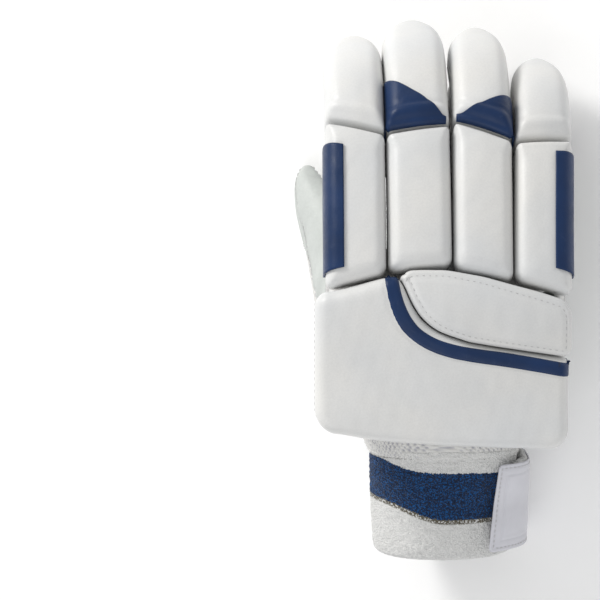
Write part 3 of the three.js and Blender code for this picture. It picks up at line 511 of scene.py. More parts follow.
def towelling(name, white, navy, bright, fringe):
    """Looped towelling: band runs from 0 to 1 down the navy band, and is far from both elsewhere."""
    n = Nodes(name)
    loops = n.cells(0.95)
    fuzz = n.noise(0.3, 3.0, 0.7)
    ragged = n.math("MULTIPLY", n.math("SUBTRACT", n.noise(0.9, 2.0), 0.5), 0.085)
    band = n.math("ADD", n.value("band"), ragged)
    inside = n.math("MULTIPLY", n.spread(band, -0.006, 0.006, 0, 1), n.spread(band, 0.994, 1.006, 1, 0))
    fringe_zone = n.math("MULTIPLY", n.spread(band, 0.99, 1.0, 0, 1), n.spread(band, 1.08, 1.11, 1, 0))
    speckle = n.math("MULTIPLY", fringe_zone, n.spread(n.noise(0.9, 2.0), 0.4, 0.5, 0, 1))
    dyed = n.mix(n.spread(n.noise(0.8, 2.0, 0.7), 0.5, 0.6, 0, 1), navy, bright)
    plain = n.mix(n.spread(n.noise(9.0, 2.0), 0.35, 0.7, 0, 0.5), white, shade(white, 0.93))
    cloth = n.mix(speckle, n.mix(inside, plain, dyed), shade(fringe, 0.55))
    # Painted shade: the hollows between the loops are darkened towards near black.
    loop_shade = n.mix(n.spread(loops, 0.3, 0.85, 0.0, 0.13), cloth, (0.05, 0.06, 0.08, 1))
    height = n.math("SUBTRACT", n.math("MULTIPLY", fuzz, 0.7), loops)
    return n.finish(loop_shade, n.spread(fuzz, 0.3, 0.7, 0.88, 1.0), n.bump(height, 0.7, 1.0),
                    Sheen_Weight=0.12, Sheen_Roughness=0.6, Specular_IOR_Level=0.15)


def smooth_vinyl(name, color):
    n = Nodes(name)
    fine = n.noise(0.5, 2.0)
    broad = n.noise(14.0, 2.0)
    tone = n.mix(n.spread(broad, 0.35, 0.7, 0, 1), color, shade(color, 0.94))
    normal = n.bump(fine, 0.03, 0.5, n.bump(broad, 0.3, 0.3))
    gloss = n.spread(fine, 0.3, 0.7, 0.3, 0.42)
    return n.finish(tone, gloss, normal, Coat_Weight=0.15, Coat_Roughness=0.25)


def thread(name, color):
    n = Nodes(name)
    twist = n.noise(0.25, 2.0)
    return n.finish(n.mix(n.spread(twist, 0.35, 0.65, 0, 1), color, shade(color, 0.72)),
                    n.spread(twist, 0.3, 0.7, 0.6, 0.8), n.bump(twist, 0.05, 0.8), Sheen_Weight=0.2)


def pale_floor(name, color):
    n = Nodes(name)
    grain = n.noise(60.0, 3.0)
    tone = n.mix(n.spread(grain, 0.3, 0.7, 0, 1), color, shade(color, 0.985))
    return n.finish(tone, n.spread(grain, 0.3, 0.7, 0.85, 0.95), n.bump(grain, 0.05, 0.1),
                    Emission_Color=color, Emission_Strength=0.1)


FINISHES = {}


def finish(name):
    """A finish by name, made once from the colours in the panel."""
    if name not in FINISHES:
        colours = bpy.context.scene.glove_colours
        c = {key: tuple(getattr(colours, key)) for key in colours.__annotations__}
        makers = {
            "pad_leather": lambda: leather(name, c["white"], c["white_shadow"]),
            "palm_leather": lambda: leather(
                name, c["palm"], shade(c["palm"], 0.9), 1.3, 0.07, rough=(0.5, 0.66), crease=6.0),
            "blue_leather": lambda: navy_leather(name, c["navy"], c["worn"]),
            "side_knit": lambda: ribbed_knit(name, c["white"], c["knit_navy"], c["khaki"]),
            "spacer_mesh": lambda: open_mesh(name, c["white"], c["mesh_hollow"]),
            "towelling": lambda: towelling(
                name, c["towel"], c["towel_navy"], c["towel_bright"], c["khaki"]),
            "tab_vinyl": lambda: smooth_vinyl(name, c["vinyl"]),
            "thread": lambda: thread(name, c["thread"]),
            "floor": lambda: pale_floor(name, c["floor"]),
        }
        FINISHES[name] = makers[name]()
    return FINISHES[name]


# Foam pads

WALL_TURNS = np.radians(np.linspace(0, 90, 8))


def border_steps(radius):
    """How far in from an edge the rows of a rounded shoulder stand."""
    return radius * (1 - np.cos(WALL_TURNS))


class Pad:
    """One foam pad: an outline over the back, a shoulder all round it and a wall down to its foot."""

    def __init__(self, finger, left, right, low, high, thickness, corners, shoulder, wall, spacing=1.25,
                 relief=None, crown=0.025, seed=1):
        self.finger, self.low, self.high = finger, low, high
        self.left, self.right, self.thickness = left, right, thickness
        self.corners, self.shoulder, self.wall, self.relief = corners, shoulder, wall, relief
        self.crown, self.seed = crown, seed
        edge = border_steps(BORDER)[:-1]
        count = max(4, round((right - left - 2 * BORDER) / spacing))
        inner = np.linspace(left + BORDER, right - BORDER, count + 1)
        self.xs = np.unique(np.round(np.concatenate([left + edge, inner, (right - edge)[::-1]]), 4))
        self.edge = border_steps(6.0)
        self.count = max(4, round(((high(self.xs) - low(self.xs)).max() - 12) / spacing))
        self.outline = self.plan_rim(500)

    def plan(self, x, share):
        """Place on the plan from x and a share between the edges, with the corners rounded off."""
        low, high = self.low(x), self.high(x)
        span = high - low
        b = share * span
        for (side, end), reach in self.corners.items():
            a = x - self.left if side == "left" else self.right - x
            d = b if end == "low" else span - b
            inside, a, d = rounded_corner(a, d, *reach)
            x = np.where(inside, self.left + a if side == "left" else self.right - a, x)
            b = np.where(inside, d if end == "low" else span - d, b)
        return x, self.low(x) + b / span * (self.high(x) - self.low(x))

    def plan_rim(self, count):
        t = np.linspace(0, 1, count // 4, endpoint=False)
        across = self.left + (self.right - self.left) * t
        zero, one = np.zeros_like(t), np.ones_like(t)
        back = across[::-1] + (across[1] - across[0])
        xs = np.concatenate([across, one * self.right, back, one * self.left])
        shares = np.concatenate([zero, t, one, 1 - t])
        return np.stack(self.plan(xs, shares), -1)

    def inset(self, x, s):
        """Distance in from the outline."""
        return distance_to(np.concatenate([self.outline, self.outline[:1]]), x, s)

    def height(self, x, s, inset):
        radius = self.shoulder(x, s)
        power = 2.3
        g = (1 - (1 - np.clip(inset / radius, 0, 1)) ** power) ** (1 / power)
        mid, half = (self.left + self.right) / 2, (self.right - self.left) / 2
        crown = 1 - self.crown * ((x - mid) / half) ** 2
        wall = self.wall(x, s)
        top = self.thickness * crown * (wall + (1 - wall) * g)
        places = np.stack([x, s], -1)
        top = top + 0.22 * waves(places, 34, self.seed) * ease(inset / 6)
        top = top + 0.07 * waves(places, 9, self.seed + 3)
        if self.relief:
            top = top + self.relief(x, s, inset)
        return SEAM + top

    def surface(self, x, s):
        """Places on the top face above plan places, in the glove's own frame."""
        x, s = np.asarray(x, float), np.asarray(s, float)
        return over(self.finger, x, s, self.height(x, s, self.inset(x, s)))

    def wall_point(self, x, s, fall):
        """Below the outline: fall goes from 0 at the shoulder to 1 at the foot."""
        h = (self.height(x, s, np.zeros_like(x)) - SEAM) * (1 - fall) + SEAM
        mid = (self.left + self.right) / 2
        centre = (self.low(x) + self.high(x)) / 2
        bulge = 0.25 * np.sin(math.pi * fall) - 0.9 * ease(fall * 1.6 - 0.6)
        away = np.stack([x - mid, s - centre], -1)
        unit = away / np.maximum(np.linalg.norm(away, axis=-1), 1)[..., None]
        return over(self.finger, x + unit[..., 0] * bulge, s + unit[..., 1] * bulge, h)

    def mesh(self):
        xs = self.xs
        low, high = self.low(xs), self.high(xs)
        span = high - low
        shrink = np.minimum(1, span / 2 / (self.edge[-1] + 1.0))
        lower = self.edge[None, :] * shrink[:, None]
        t = np.linspace(0, 1, self.count + 1)[1:-1]
        middle = lower[:, -1:] + (span[:, None] - 2 * lower[:, -1:]) * t
        b = np.concatenate([lower, middle, (span[:, None] - lower)[:, ::-1]], 1)
        x_grid = np.repeat(xs[:, None], b.shape[1], 1)
        x, s = self.plan(x_grid, b / span[:, None])
        top_h = self.height(x, s, self.inset(x, s))
        rows, columns = x.shape
        rim = rim_of(rows, columns)
        rim_x, rim_s = x.ravel()[rim], s.ravel()[rim]
        points = [over(self.finger, x, s, top_h).reshape(-1, 3)]
        total = rows * columns
        falls = (0.12, 0.3, 0.5, 0.7, 0.84, 0.93, 1.0)
        rings = [rim]
        for fall in falls:
            points.append(self.wall_point(rim_x, rim_s, np.full(len(rim), fall)))
            rings.append(np.arange(len(rim)) + total)
            total += len(rim)
        mid_x, mid_s = x.mean(), s.mean()
        foot = over(self.finger, mid_x + (x - mid_x) * 0.93, mid_s + (s - mid_s) * 0.96, SEAM)
        points.append(foot.reshape(-1, 3))
        rings.append(rim + total)
        top, bottom = grid_faces(rows, columns), grid_faces(rows, columns, total)[:, ::-1]
        return np.concatenate(points), np.concatenate([top, strips(rings, 0, flip=True), bottom])

    def line(self, places):
        """A path and its up directions over the top face, for stitches."""
        x, s = places[:, 0], places[:, 1]
        h = self.height(x, s, self.inset(x, s))
        path = over(self.finger, x, s, h)
        return path, over(self.finger, x, s, h + 1) - path

    def wall_line(self, fall):
        """A path and its outward directions round the wall of the pad."""
        o = self.outline[np.linspace(0, len(self.outline) - 1, 300).astype(int)]
        tangent = np.roll(o, -1, axis=0) - np.roll(o, 1, axis=0)
        out = np.stack([tangent[:, 1], -tangent[:, 0]], 1)
        out /= np.maximum(np.linalg.norm(out, axis=1), 1e-9)[:, None]
        falls = np.full(len(o), fall)
        path = self.wall_point(o[:, 0], o[:, 1], falls)
        return path, self.wall_point(o[:, 0] + out[:, 0], o[:, 1] + out[:, 1], falls) - path

    def inset_line(self, distance):
        """Plan places a distance in from the outline, all the way round."""
        o = self.outline
        tangent = np.roll(o, -2, axis=0) - np.roll(o, 2, axis=0)
        tangent /= np.maximum(np.linalg.norm(tangent, axis=1), 1e-9)[:, None]
        moved = o + np.stack([-tangent[:, 1], tangent[:, 0]], 1) * distance
        kept = [moved[0]]
        for p in moved[1:]:
            if np.linalg.norm(p - kept[-1]) > 0.8:
                kept.append(p)
        return np.array(kept)


def roll_pad(name, tip):
    """The long roll over a finger's first joints, or the rounded one over its end."""
    finger = FINGERS[name]
    half = (TIP_WIDTH if tip else MID_WIDTH) * finger["width"] / 2
    centre = finger["across"] * HAND_WIDTH
    joint = along_finger(finger["joint"])
    start = joint + JOINT_GROOVE / 2 if tip else along_finger(finger["foot"])
    end = along_finger(finger["tip"]) if tip else joint - JOINT_GROOVE / 2
    low_slope = finger["high"] if tip else finger["low"]
    high_slope = 0.0 if tip else finger["high"]
    low = lambda x: start + low_slope * (x - centre)
    high = lambda x: end + high_slope * (x - centre)
    seed = 11 + list(FINGERS).index(name) * 7 + (3 if tip else 0)
    if tip:
        corners = {("left", "low"): (2.2, 2.2), ("right", "low"): (2.2, 2.2),
                   ("left", "high"): (half, 21), ("right", "high"): (half, 21)}
        run = lambda s: ease((s - (end - 34)) / 34)
        shoulder = lambda x, s: 7.5 + 5.5 * run(s) - 4.5 * (1 - ease((s - low(x)) / 9))
        wall = lambda x, s: 0.52 - 0.2 * run(s)

        def relief(x, s, inset):
            near = s - low(x)
            bevel = -4.2 * (1 - ease(near / 5.2))
            ridge = 0.35 * bell(near, 5.8, 1.0) - 0.25 * bell(near, 8.0, 1.2)
            side = ease(inset / 3)
            pinch = 0.28 * bell(near, 8.5, 3.2) * np.abs((x - centre) / half) ** 1.5
            folds = pinch * np.sin(near * 2.1 + 2.5 * waves(np.stack([x, s], -1), 9, seed))
            return (bevel + ridge + folds) * side
    else:
        corners = {("left", "low"): (4.6, 4.6), ("right", "low"): (4.6, 4.6),
                   ("left", "high"): (2.2, 2.2), ("right", "high"): (2.2, 2.2)}
        shoulder = lambda x, s: 6.4 - 3.4 * ease((s - high(x) + 8) / 6)
        wall = steady(0.55)

        def relief(x, s, inset):
            near_top = high(x) - s
            lip = 0.3 * bell(near_top, 1.6, 0.8) - 0.25 * bell(near_top, 3.6, 1.0)
            tuck = -0.35 * bell(s - low(x), 4.5, 1.6)
            return (lip + tuck) * ease(inset / 1.5)
    thickness = TIP_THICKNESS if tip else PAD_THICKNESS
    crown = 0.085 if tip else 0.05
    return Pad(name, centre - half, centre + half, low, high, thickness, corners, shoulder, wall,
               relief=relief, crown=crown, seed=seed)


def table(rows):
    places, values = zip(*rows)
    return lambda share: np.interp(share, places, values)


# Edges of the back pads: shares of the pad's width and length.
HAND_LOW = table([
    (0, 0.125), (0.1, 0.117), (0.2, 0.09), (0.32, 0.067), (0.5, 0.048), (0.72, 0.034), (1, 0.026),
])
HAND_HIGH = table([
    (0, 0.955), (0.07, 0.9625), (0.166, 0.9925), (0.266, 1.0275), (0.318, 1.034), (0.331, 1.02),
    (0.348, 0.9875), (0.363, 0.94), (0.379, 0.8975), (0.41, 0.835), (0.449, 0.786), (0.485, 0.752),
    (0.528, 0.725), (0.605, 0.685), (0.72, 0.654), (0.881, 0.615), (1, 0.585),
])
KNUCKLE_CROWN = table([
    (0, 0.985), (0.064, 0.99), (0.137, 0.995), (0.27, 0.99), (0.484, 0.916), (0.638, 0.84), (0.815, 0.76),
    (1, 0.66),
])


def softened(function, reach=1.6):
    """A table read with its corners eased."""
    offsets = np.linspace(-reach, reach, 7)
    return lambda x: sum(function(x + o) for o in offsets) / len(offsets)


def hand_low(x):
    return HAND_LOW((x - HAND_PAD_LEFT) / HAND_PAD_WIDTH) * HAND_PAD_LENGTH


def hand_high(x):
    return softened(lambda v: HAND_HIGH((v - HAND_PAD_LEFT) / HAND_PAD_WIDTH) * HAND_PAD_LENGTH)(x)


STRIPE_LINE = np.array([
    (0.298, 1.08), (0.302, 1.0), (0.323, 0.893), (0.376, 0.778), (0.458, 0.69), (0.585, 0.63),
    (0.722, 0.597), (0.973, 0.527), (1.03, 0.51),
]) * (HAND_PAD_WIDTH, HAND_PAD_LENGTH) + (HAND_PAD_LEFT, 0)


def stripe_path(count=160):
    steps = np.concatenate([[0], np.cumsum(np.linalg.norm(np.diff(STRIPE_LINE, axis=0), axis=1))])
    t = np.linspace(0, steps[-1], count)
    return np.stack([spline(steps, STRIPE_LINE[:, 0], t), spline(steps, STRIPE_LINE[:, 1], t)], -1)


def hand_pad():
    path = stripe_path(60)
    corners = {("left", "low"): (11, 12), ("left", "high"): (6, 6),
               ("right", "low"): (9, 10), ("right", "high"): (4, 4)}

    def relief(x, s, inset):
        return -0.45 * bell(distance_to(path, x, s), STRIPE_WIDTH / 2, 0.8) * ease(inset / 2)

    return Pad("middle", HAND_PAD_LEFT, HAND_PAD_LEFT + HAND_PAD_WIDTH, hand_low, hand_high, PAD_THICKNESS,
               corners, steady(5.5), steady(0.62), relief=relief, crown=0.0, seed=71)


def knuckle_pad():
    left = HAND_PAD_LEFT + 0.3245 * HAND_PAD_WIDTH + KNUCKLE_GROOVE
    corner = 0.595 * HAND_PAD_LENGTH
    edge = lambda x: corner + KNUCKLE_CROWN((x - left) / KNUCKLE_PAD_WIDTH) * KNUCKLE_PAD_LENGTH
    foot = lambda x: hand_high(np.maximum(x, left + 1.2)) + KNUCKLE_GROOVE
    corners = {("left", "high"): (7, 5), ("right", "low"): (5, 5),
               ("right", "high"): (6, 7), ("left", "low"): (1.5, 1.5)}

    def relief(x, s, inset):
        return -0.9 * bell(inset, STITCH_INSET, 0.9) + 0.7 * ease((inset - 3.5) / 14) - 0.8

    return Pad("middle", left, left + KNUCKLE_PAD_WIDTH, foot, softened(edge, 2.4), PAD_THICKNESS,
               corners, steady(3.2), steady(0.78), relief=relief, crown=0.0, seed=83)


def make_pad(name, pad, *nodes, fill=0.85):
    points, faces = pad.mesh()
    made = make_object(name, points, faces, finish("pad_leather"))
    return settle(made, "white_leather", *nodes, fill=fill)


def make_stitches(name, path, ups, **shape):
    points, faces = stitches(path, ups, **shape)
    made = make_object(name, points, faces, finish("thread"))
    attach(made, "root")
    return made


def make_skin(name, grid, slot, node, thickness, proud=0.12, dive=0.55, flip=False):
    """A thin closed piece over a grid, in the finish that its slot is named after."""
    points, faces = skin(grid, thickness, proud, dive, flip)
    return settle(make_object(name, points, faces, finish(slot)), slot, node)


def side_panel(pad, name):
    """Navy panel over the outer shoulder and wall of a long roll."""
    way = -1 if name == "index" else 1
    edge = pad.left if way < 0 else pad.right
    rows = np.linspace(0, 1, 70)
    low_gap, high_gap = (6.8, 9.4) if name == "index" else (9.0, 5.6)
    flat = np.linspace(SIDE_PANEL_FRONT, BORDER, 5)[:-1]
    columns = []

    def along(x):
        return pad.low(x) + low_gap + (pad.high(x) - high_gap - pad.low(x) - low_gap) * rows

    for inward in np.concatenate([flat, border_steps(BORDER)[::-1]]):
        x = np.full(rows.shape, edge - way * inward)
        columns.append(pad.surface(x, along(x)))
    x = np.full(rows.shape, edge)
    for fall in np.linspace(0.12, 0.95, 9):
        columns.append(pad.wall_point(x, along(x), np.full(rows.shape, fall)))
    grid = np.stack(columns, 1)
    return make_skin("navy_panel_" + name, grid, "blue_leather", "side_panel_" + name, 1.2, flip=way > 0)


def tip_triangle(pad, name):
    """Navy triangle across the foot of an end roll, tall on one side."""
    way = -1 if name == "middle" else 1
    centre, half = (pad.left + pad.right) / 2, (pad.right - pad.left) / 2
    rise = 0.31 if name == "middle" else 0.235
    length = pad.high(centre) - pad.low(centre)
    outer, point = way * half, -way * half * 0.86
    share = np.linspace(0, 1, 40)
    x = centre + point + (outer - point) * share
    bulge = 0.02 if name == "middle" else 0.0
    top = length * (rise * share ** 1.3 + bulge * np.sin(math.pi * share)) + 1.9
    rows = np.linspace(0, 1, 26) ** 1.15
    foot = 0.35
    columns = []
    for x_, top_ in zip(x, top):
        x_row = np.full(rows.shape, x_ - way * 0.05)
        columns.append(pad.surface(x_row, pad.low(x_row) + foot + (top_ - foot) * rows))
    s_edge = pad.low(x[-1]) + foot + (top[-1] - foot) * rows
    for fall in np.linspace(0.1, 0.8, 6):
        columns.append(pad.wall_point(np.full(rows.shape, x[-1]), s_edge, np.full(rows.shape, fall)))
    grid = np.stack(columns, 1)
    return make_skin(
        "navy_triangle_" + name, grid, "blue_leather", "tip_triangle_" + name, 1.0, flip=way > 0)


def hand_stripe(pad):
    """Navy stripe along the hand pad's upper edge, turned down over its outer side."""
    path = stripe_path(200)
    tangent = np.gradient(path, axis=0)
    tangent /= np.linalg.norm(tangent, axis=1)[:, None]
    side = np.stack([-tangent[:, 1], tangent[:, 0]], 1)
    inside = (pad.low(path[:, 0]) < path[:, 1]) & (path[:, 1] < hand_high(path[:, 0]) + 0.5)
    inside &= path[:, 0] < pad.right - BORDER - 0.1
    path, side = path[inside], side[inside]
    across = np.linspace(-0.5, 0.5, 13) * STRIPE_WIDTH
    x = path[:, 0, None] + side[:, 0, None] * across
    s = path[:, 1, None] + side[:, 1, None] * across
    x = np.minimum(x, pad.right - 0.05)
    s = np.minimum(s, hand_high(x) - 0.2)
    grid = pad.surface(x, s)
    slope = (path[-1, 1] - path[-6, 1]) / (path[-1, 0] - path[-6, 0])
    turned_x = pad.right - border_steps(BORDER)[::-1, None] + 0 * across
    turned_s = np.minimum(s[-1] + slope * (turned_x - x[-1]), hand_high(turned_x) - 0.2)
    falls = np.linspace(0.1, 0.9, 8)[:, None] + 0 * across
    wall = pad.wall_point(pad.right + 0 * falls, turned_s[-1] + 0 * falls, falls)
    grid = np.concatenate([grid, pad.surface(turned_x, turned_s), wall])
    return make_skin("navy_stripe", grid, "blue_leather", "hand_pad_stripe", 1.0, 0.25, 0.5, flip=True)


# Hand body, cuff and thumb

# Sections of the hand: s, left, right, top and bottom. All but the first are shares of the hand's sizes.
CUFF_HALF = CUFF_DEPTH / 2
HAND_UNITS = (KNUCKLE_LINE, HAND_WIDTH, HAND_WIDTH, PALM_DEPTH, PALM_DEPTH)
HAND_ROWS = np.array([
    (WRIST_SEAM, -CUFF_WIDTH / 2, CUFF_WIDTH / 2, CUFF_HALF - BACK_HEIGHT, -CUFF_HALF - BACK_HEIGHT),
    *[np.multiply(shares_, HAND_UNITS) for shares_ in (
        (0.12, -0.36, 0.335, -0.018, -1.06), (0.36, -0.43, 0.4, 0, -1.04), (0.62, -0.465, 0.45, 0, -0.98),
        (0.9, -0.487, 0.487, 0, -0.87), (1.12, -0.484, 0.49, 0, -0.72), (1.24, -0.47, 0.48, -0.03, -0.64))],
])
# Edges of the knitted band: share of its length, and share of the palm's depth.
BAND_UPPER = table([
    (-0.02, -0.44), (0.1, -0.28), (0.2, -0.21), (0.38, -0.2), (0.6, -0.23), (0.85, -0.21), (1.1, -0.19),
])
BAND_LOWER = table([
    (-0.02, -0.74), (0.1, -0.6), (0.2, -0.55), (0.38, -0.53), (0.6, -0.5), (0.85, -0.43), (1.1, -0.4),
])
BAND_LENGTH = FINGER_LENGTH + KNUCKLE_LINE + 2 - WRIST_SEAM


def band_edges(s):
    share = (s - WRIST_SEAM) / BAND_LENGTH
    return BAND_LOWER(share) * PALM_DEPTH, BAND_UPPER(share) * PALM_DEPTH


def body_section(s):
    return [np.interp(s, HAND_ROWS[:, 0], HAND_ROWS[:, k]) for k in range(1, 5)]


def inside_body(points, margin):
    """True for places inside the hand's body shrunk by a margin."""
    _, x, s, h = flat_places(points.reshape(-1, 3))
    left, right, top, bottom = body_section(s)
    half_x, half_h = (right - left) / 2 - margin, (top - bottom) / 2 - margin
    u, v = (x - (left + right) / 2) / half_x, (h - (top + bottom) / 2) / half_h
    power = np.where(v > 0, TOP_POWER, PALM_POWER)
    return (np.abs(u) ** power + np.abs(v) ** power < 1).reshape(points.shape[:-1])


def cuff_place(angle, down, outside):
    """A place round the cuff: an angle, how far down from the wrist seam and how far outside its wall."""
    angle, down, outside = np.broadcast_arrays(angle, down, outside)
    c, s = np.cos(angle), np.sin(angle)
    power = np.where(s > 0, 2 / TOP_POWER, 2 / PALM_POWER)
    blend = ease(down / CUFF_LENGTH * 2)
    rounded = lambda v: signed_power(v, power) * (1 - blend) + v * blend
    return np.stack([
        (CUFF_WIDTH / 2 + outside) * rounded(c),
        WRIST_SEAM - 0.3 - down,
        (CUFF_DEPTH / 2 + outside) * rounded(s) + math.tan(math.radians(CUFF_LEAN)) * down * blend,
    ], -1)


def tube(outer, inner):
    """Closed wall between an outer and an inner grid that both run round, row after row."""
    rows, columns = outer.shape[:2]
    count = rows * columns
    faces = [grid_faces(rows, columns, close=True), grid_faces(rows, columns, count, close=True)[:, ::-1]]
    first, last = np.arange(columns), np.arange(columns) + (rows - 1) * columns
    faces += [strips([first + count, first], 0), strips([last, last + count], 0)]
    return np.concatenate([outer.reshape(-1, 3), inner.reshape(-1, 3)]), np.concatenate(faces)


def cuff_band(angle, down):
    """How far a place is through the navy band."""
    x = CUFF_WIDTH / 2 * np.cos(angle)
    slant = ease(-x / (CUFF_WIDTH / 2))
    upper, lower = 6 - 7.5 * slant, 30.5 - 9 * slant
    return (down - upper) / (lower - upper)


def make_cuff():
    angles = np.linspace(0, 2 * math.pi, 330, endpoint=False)[None, :]
    downs = np.concatenate([[-5.6, -5.2], np.linspace(-4.6, CUFF_LENGTH - 1.6, 82),
                            [CUFF_LENGTH - 0.9, CUFF_LENGTH - 0.35]])[:, None]
    draw = np.interp(downs, [-5.6, -5, 0, 13, 31, 47, 50.5, 52], [1.2, -1.2, -0.1, 0.3, 0.8, 1.2, 2, 3.4])
    u = angles * CUFF_WIDTH / 2 / 1.3
    loops = scatter(u, downs / 1.3, 1) * 0.4 + scatter(u * 1.9, downs / 0.7, 2) * 0.2
    sag = 0.6 * np.sin(angles * 3 + 0.6) * ease((downs - 30) / 20) + 0.4 * np.sin(angles * 2 + downs / 13)
    outer = cuff_place(angles, downs, -draw + loops + sag)
    inner = cuff_place(angles, downs, -4.0 - loops * 0.4 + sag)
    points, faces = tube(outer, inner)
    band = np.broadcast_to(cuff_band(angles, downs), outer.shape[:2])
    band = np.concatenate([band.ravel(), np.full(band.size, OFF_BAND)])
    made = make_object("towelling_cuff", points, faces[:, ::-1], finish("towelling"), {"band": band})
    settle(made, "towelling", "cuff")


def strap_grid(first, last, low, high, rows, columns, slant=0.0, corner=0.0, ends=(0, 1)):
    """Angles and depths between two angles in degrees and two depths, and each place's shares a and b."""
    a = np.linspace(0, 1, columns)[None, :] * np.ones((rows, 1))
    b = np.linspace(0, 1, rows)[:, None] * np.ones((1, columns))
    reach_a = corner / (abs(first - last) * math.radians(1) * CUFF_WIDTH / 2)
    reach_b = corner / (high - low)
    for end_a in ends:
        for end_b in (0, 1):
            from_a, from_b = a if end_a == 0 else 1 - a, b if end_b == 0 else 1 - b
            inside, from_a, from_b = rounded_corner(from_a, from_b, reach_a, reach_b)
            a = np.where(inside, from_a if end_a == 0 else 1 - from_a, a)
            b = np.where(inside, from_b if end_b == 0 else 1 - from_b, b)
    down = low + (high - low) * b
    angle = np.radians(first + (last - first) * a + slant * (b - 0.5) * (1 - a))
    return angle, down, a, b


def make_strap():
    low, high = STRAP_DROP, STRAP_DROP + STRAP_WIDTH
    angle, down, _, _ = strap_grid(38, -124, low, high, 64, 230, slant=5, corner=7, ends=(1,))
    u = angle * CUFF_WIDTH / 2 / 1.05
    loops = scatter(u, down / 1.05, 5) * 0.24 + scatter(u * 2.1, down / 0.5, 6) * 0.1
    lift = 0.5 * np.sin(angle * 5 + 1)
    out = 3.7 + loops + lift * ease(-np.degrees(angle) / 60) + tab_rise(angle)
    points, faces = skin(cuff_place(angle, down, out), 3.1, 0.0, 0.8, flip=True)
    band = np.full(len(points), OFF_BAND)
    made = make_object("wrist_strap_band", points, faces, finish("towelling"), {"band": band})
    settle(made, "towelling", "wrist_strap")


def tab_rise(angle):
    """How far the strap and its tab stand out over the side of the wrist."""
    share = np.clip((math.radians(58) - angle) / math.radians(96), 0, 1)
    return 2.2 * np.sin(math.pi * share) ** 2


def tab_edge(down):
    """Angle of the tab's edge on the back of the wrist, which leans a little."""
    angles = np.radians(np.linspace(85, 30, 60))
    across = cuff_place(angles, np.asarray(down)[..., None], TAB_OUT)[..., 0]
    wanted = 27.0 - 4.5 * np.asarray(down) / STRAP_WIDTH
    step = np.clip((across < wanted[..., None]).sum(-1), 1, len(angles) - 1)
    low, high = (np.take_along_axis(across, (step - k)[..., None], -1)[..., 0] for k in (1, 0))
    share = np.clip((wanted - low) / (high - low), 0, 1)
    return angles[step - 1] + share * (angles[step] - angles[step - 1])


def tab_turn(down, share):
    """Angle at a share of the way across the tab."""
    first = tab_edge(down)
    return first + (math.radians(TAB_END) - first) * share


def make_tab():
    low, high = STRAP_DROP + 0.5, STRAP_DROP + STRAP_WIDTH - 0.5
    _, down, a, b = strap_grid(TAB_START, TAB_END, low, high, 100, 150, corner=2.5)
    angle = tab_turn(down, a)
    width = math.radians(TAB_START - TAB_END) * CUFF_WIDTH / 2
    inset = np.minimum.reduce([a * width, (1 - a) * width, b * (high - low), (1 - b) * (high - low)])
    seam = -0.3 * bell(inset, TAB_SEAM, 0.7)
    frame_line = -0.32 * bell(inset, 5.6, 0.55) + 0.15 * bell(inset, 6.9, 0.7)
    puff = 0.35 * ease((inset - 6) / 6)
    grid = cuff_place(angle, down, TAB_OUT + seam + frame_line + puff + tab_rise(angle))
    make_skin("strap_tab_face", grid, "tab_vinyl", "strap_tab", 1.0, proud=0.0, dive=0.5, flip=True)
    edge_a, edge_b = TAB_SEAM / width, TAB_SEAM / (high - low)
    across, up = np.linspace(edge_a, 1 - edge_a, 60), np.linspace(edge_b, 1 - edge_b, 40)
    walk_a = np.concatenate([np.full(40, edge_a), across, np.full(40, 1 - edge_a), across[::-1]])
    walk_b = np.concatenate([up[::-1], np.full(60, edge_b), up, np.full(60, 1 - edge_b)])
    depth = low + (high - low) * walk_b
    turn = tab_turn(depth, walk_a)
    raised = TAB_OUT - 0.2 + tab_rise(turn)
    path = cuff_place(turn, depth, raised)
    ups = cuff_place(turn, depth, raised + 1) - path
    make_stitches("tab_stitches", path, ups, length=1.7, gap=0.9, radius=0.22, sink=0.0)


def make_wrist_mesh():
    """Gathered mesh between the hand pad and the cuff."""
    s = np.linspace(WRIST_SEAM + 1.2, 15, 44)[:, None]
    left, right, top, bottom = body_section(s)
    middle, half = (top + bottom) / 2, (top - bottom) / 2
    upper = band_edges(s)[1]
    lift = np.clip((upper - 1.5 - middle) / half, -0.98, 0.98)
    first = np.arcsin(signed_power(lift, np.where(lift > 0, TOP_POWER, PALM_POWER) / 2))
    share = np.linspace(0, 1, 250)[None, :]
    angle = first + (math.pi - 2 * first) * share
    power = np.where(np.sin(angle) > 0, 2 / TOP_POWER, 2 / PALM_POWER)
    u = share * 105
    folds = np.sin(2 * math.pi * (u / 2.7 + 0.12 * np.sin(s * 1.7)))
    puckers = 0.55 * folds * np.sin(2 * math.pi * s / 3.1)
    bumps = puckers + 0.3 * scatter(u / 1.3 + 0 * s, s / 1.3 + 0 * u, 9)
    grow = 0.5 + bumps
    x = (left + right) / 2 + ((right - left) / 2 + grow) * signed_power(np.cos(angle), power)
    h = middle + (half + grow) * signed_power(np.sin(angle), power)
    grid = over("middle", x, s + 0 * x, h)
    points, faces = skin(grid, 1.8, 0.0, 0.4, flip=True)
    # deep marks the dips between the gathers; the mesh finish paints shade there in its hollow colour.
    deep = ease(-bumps / 0.7 + 0.2)
    made = make_object("gathered_wrist_mesh", points, faces, finish("spacer_mesh"),
                       {"deep": np.concatenate([deep.ravel(), deep.ravel()])})
    settle(made, "mesh_fabric", "wrist_mesh")


THUMB_ORIGIN = np.array([-0.306 * HAND_WIDTH, 0.487 * KNUCKLE_LINE, BACK_HEIGHT - 0.805 * PALM_DEPTH])
LEAN = math.radians(THUMB_LEAN)
THUMB_RUN = np.array([0, math.cos(LEAN), -math.sin(LEAN)])
THUMB_RISE = np.array([0, math.sin(LEAN), math.cos(LEAN)])
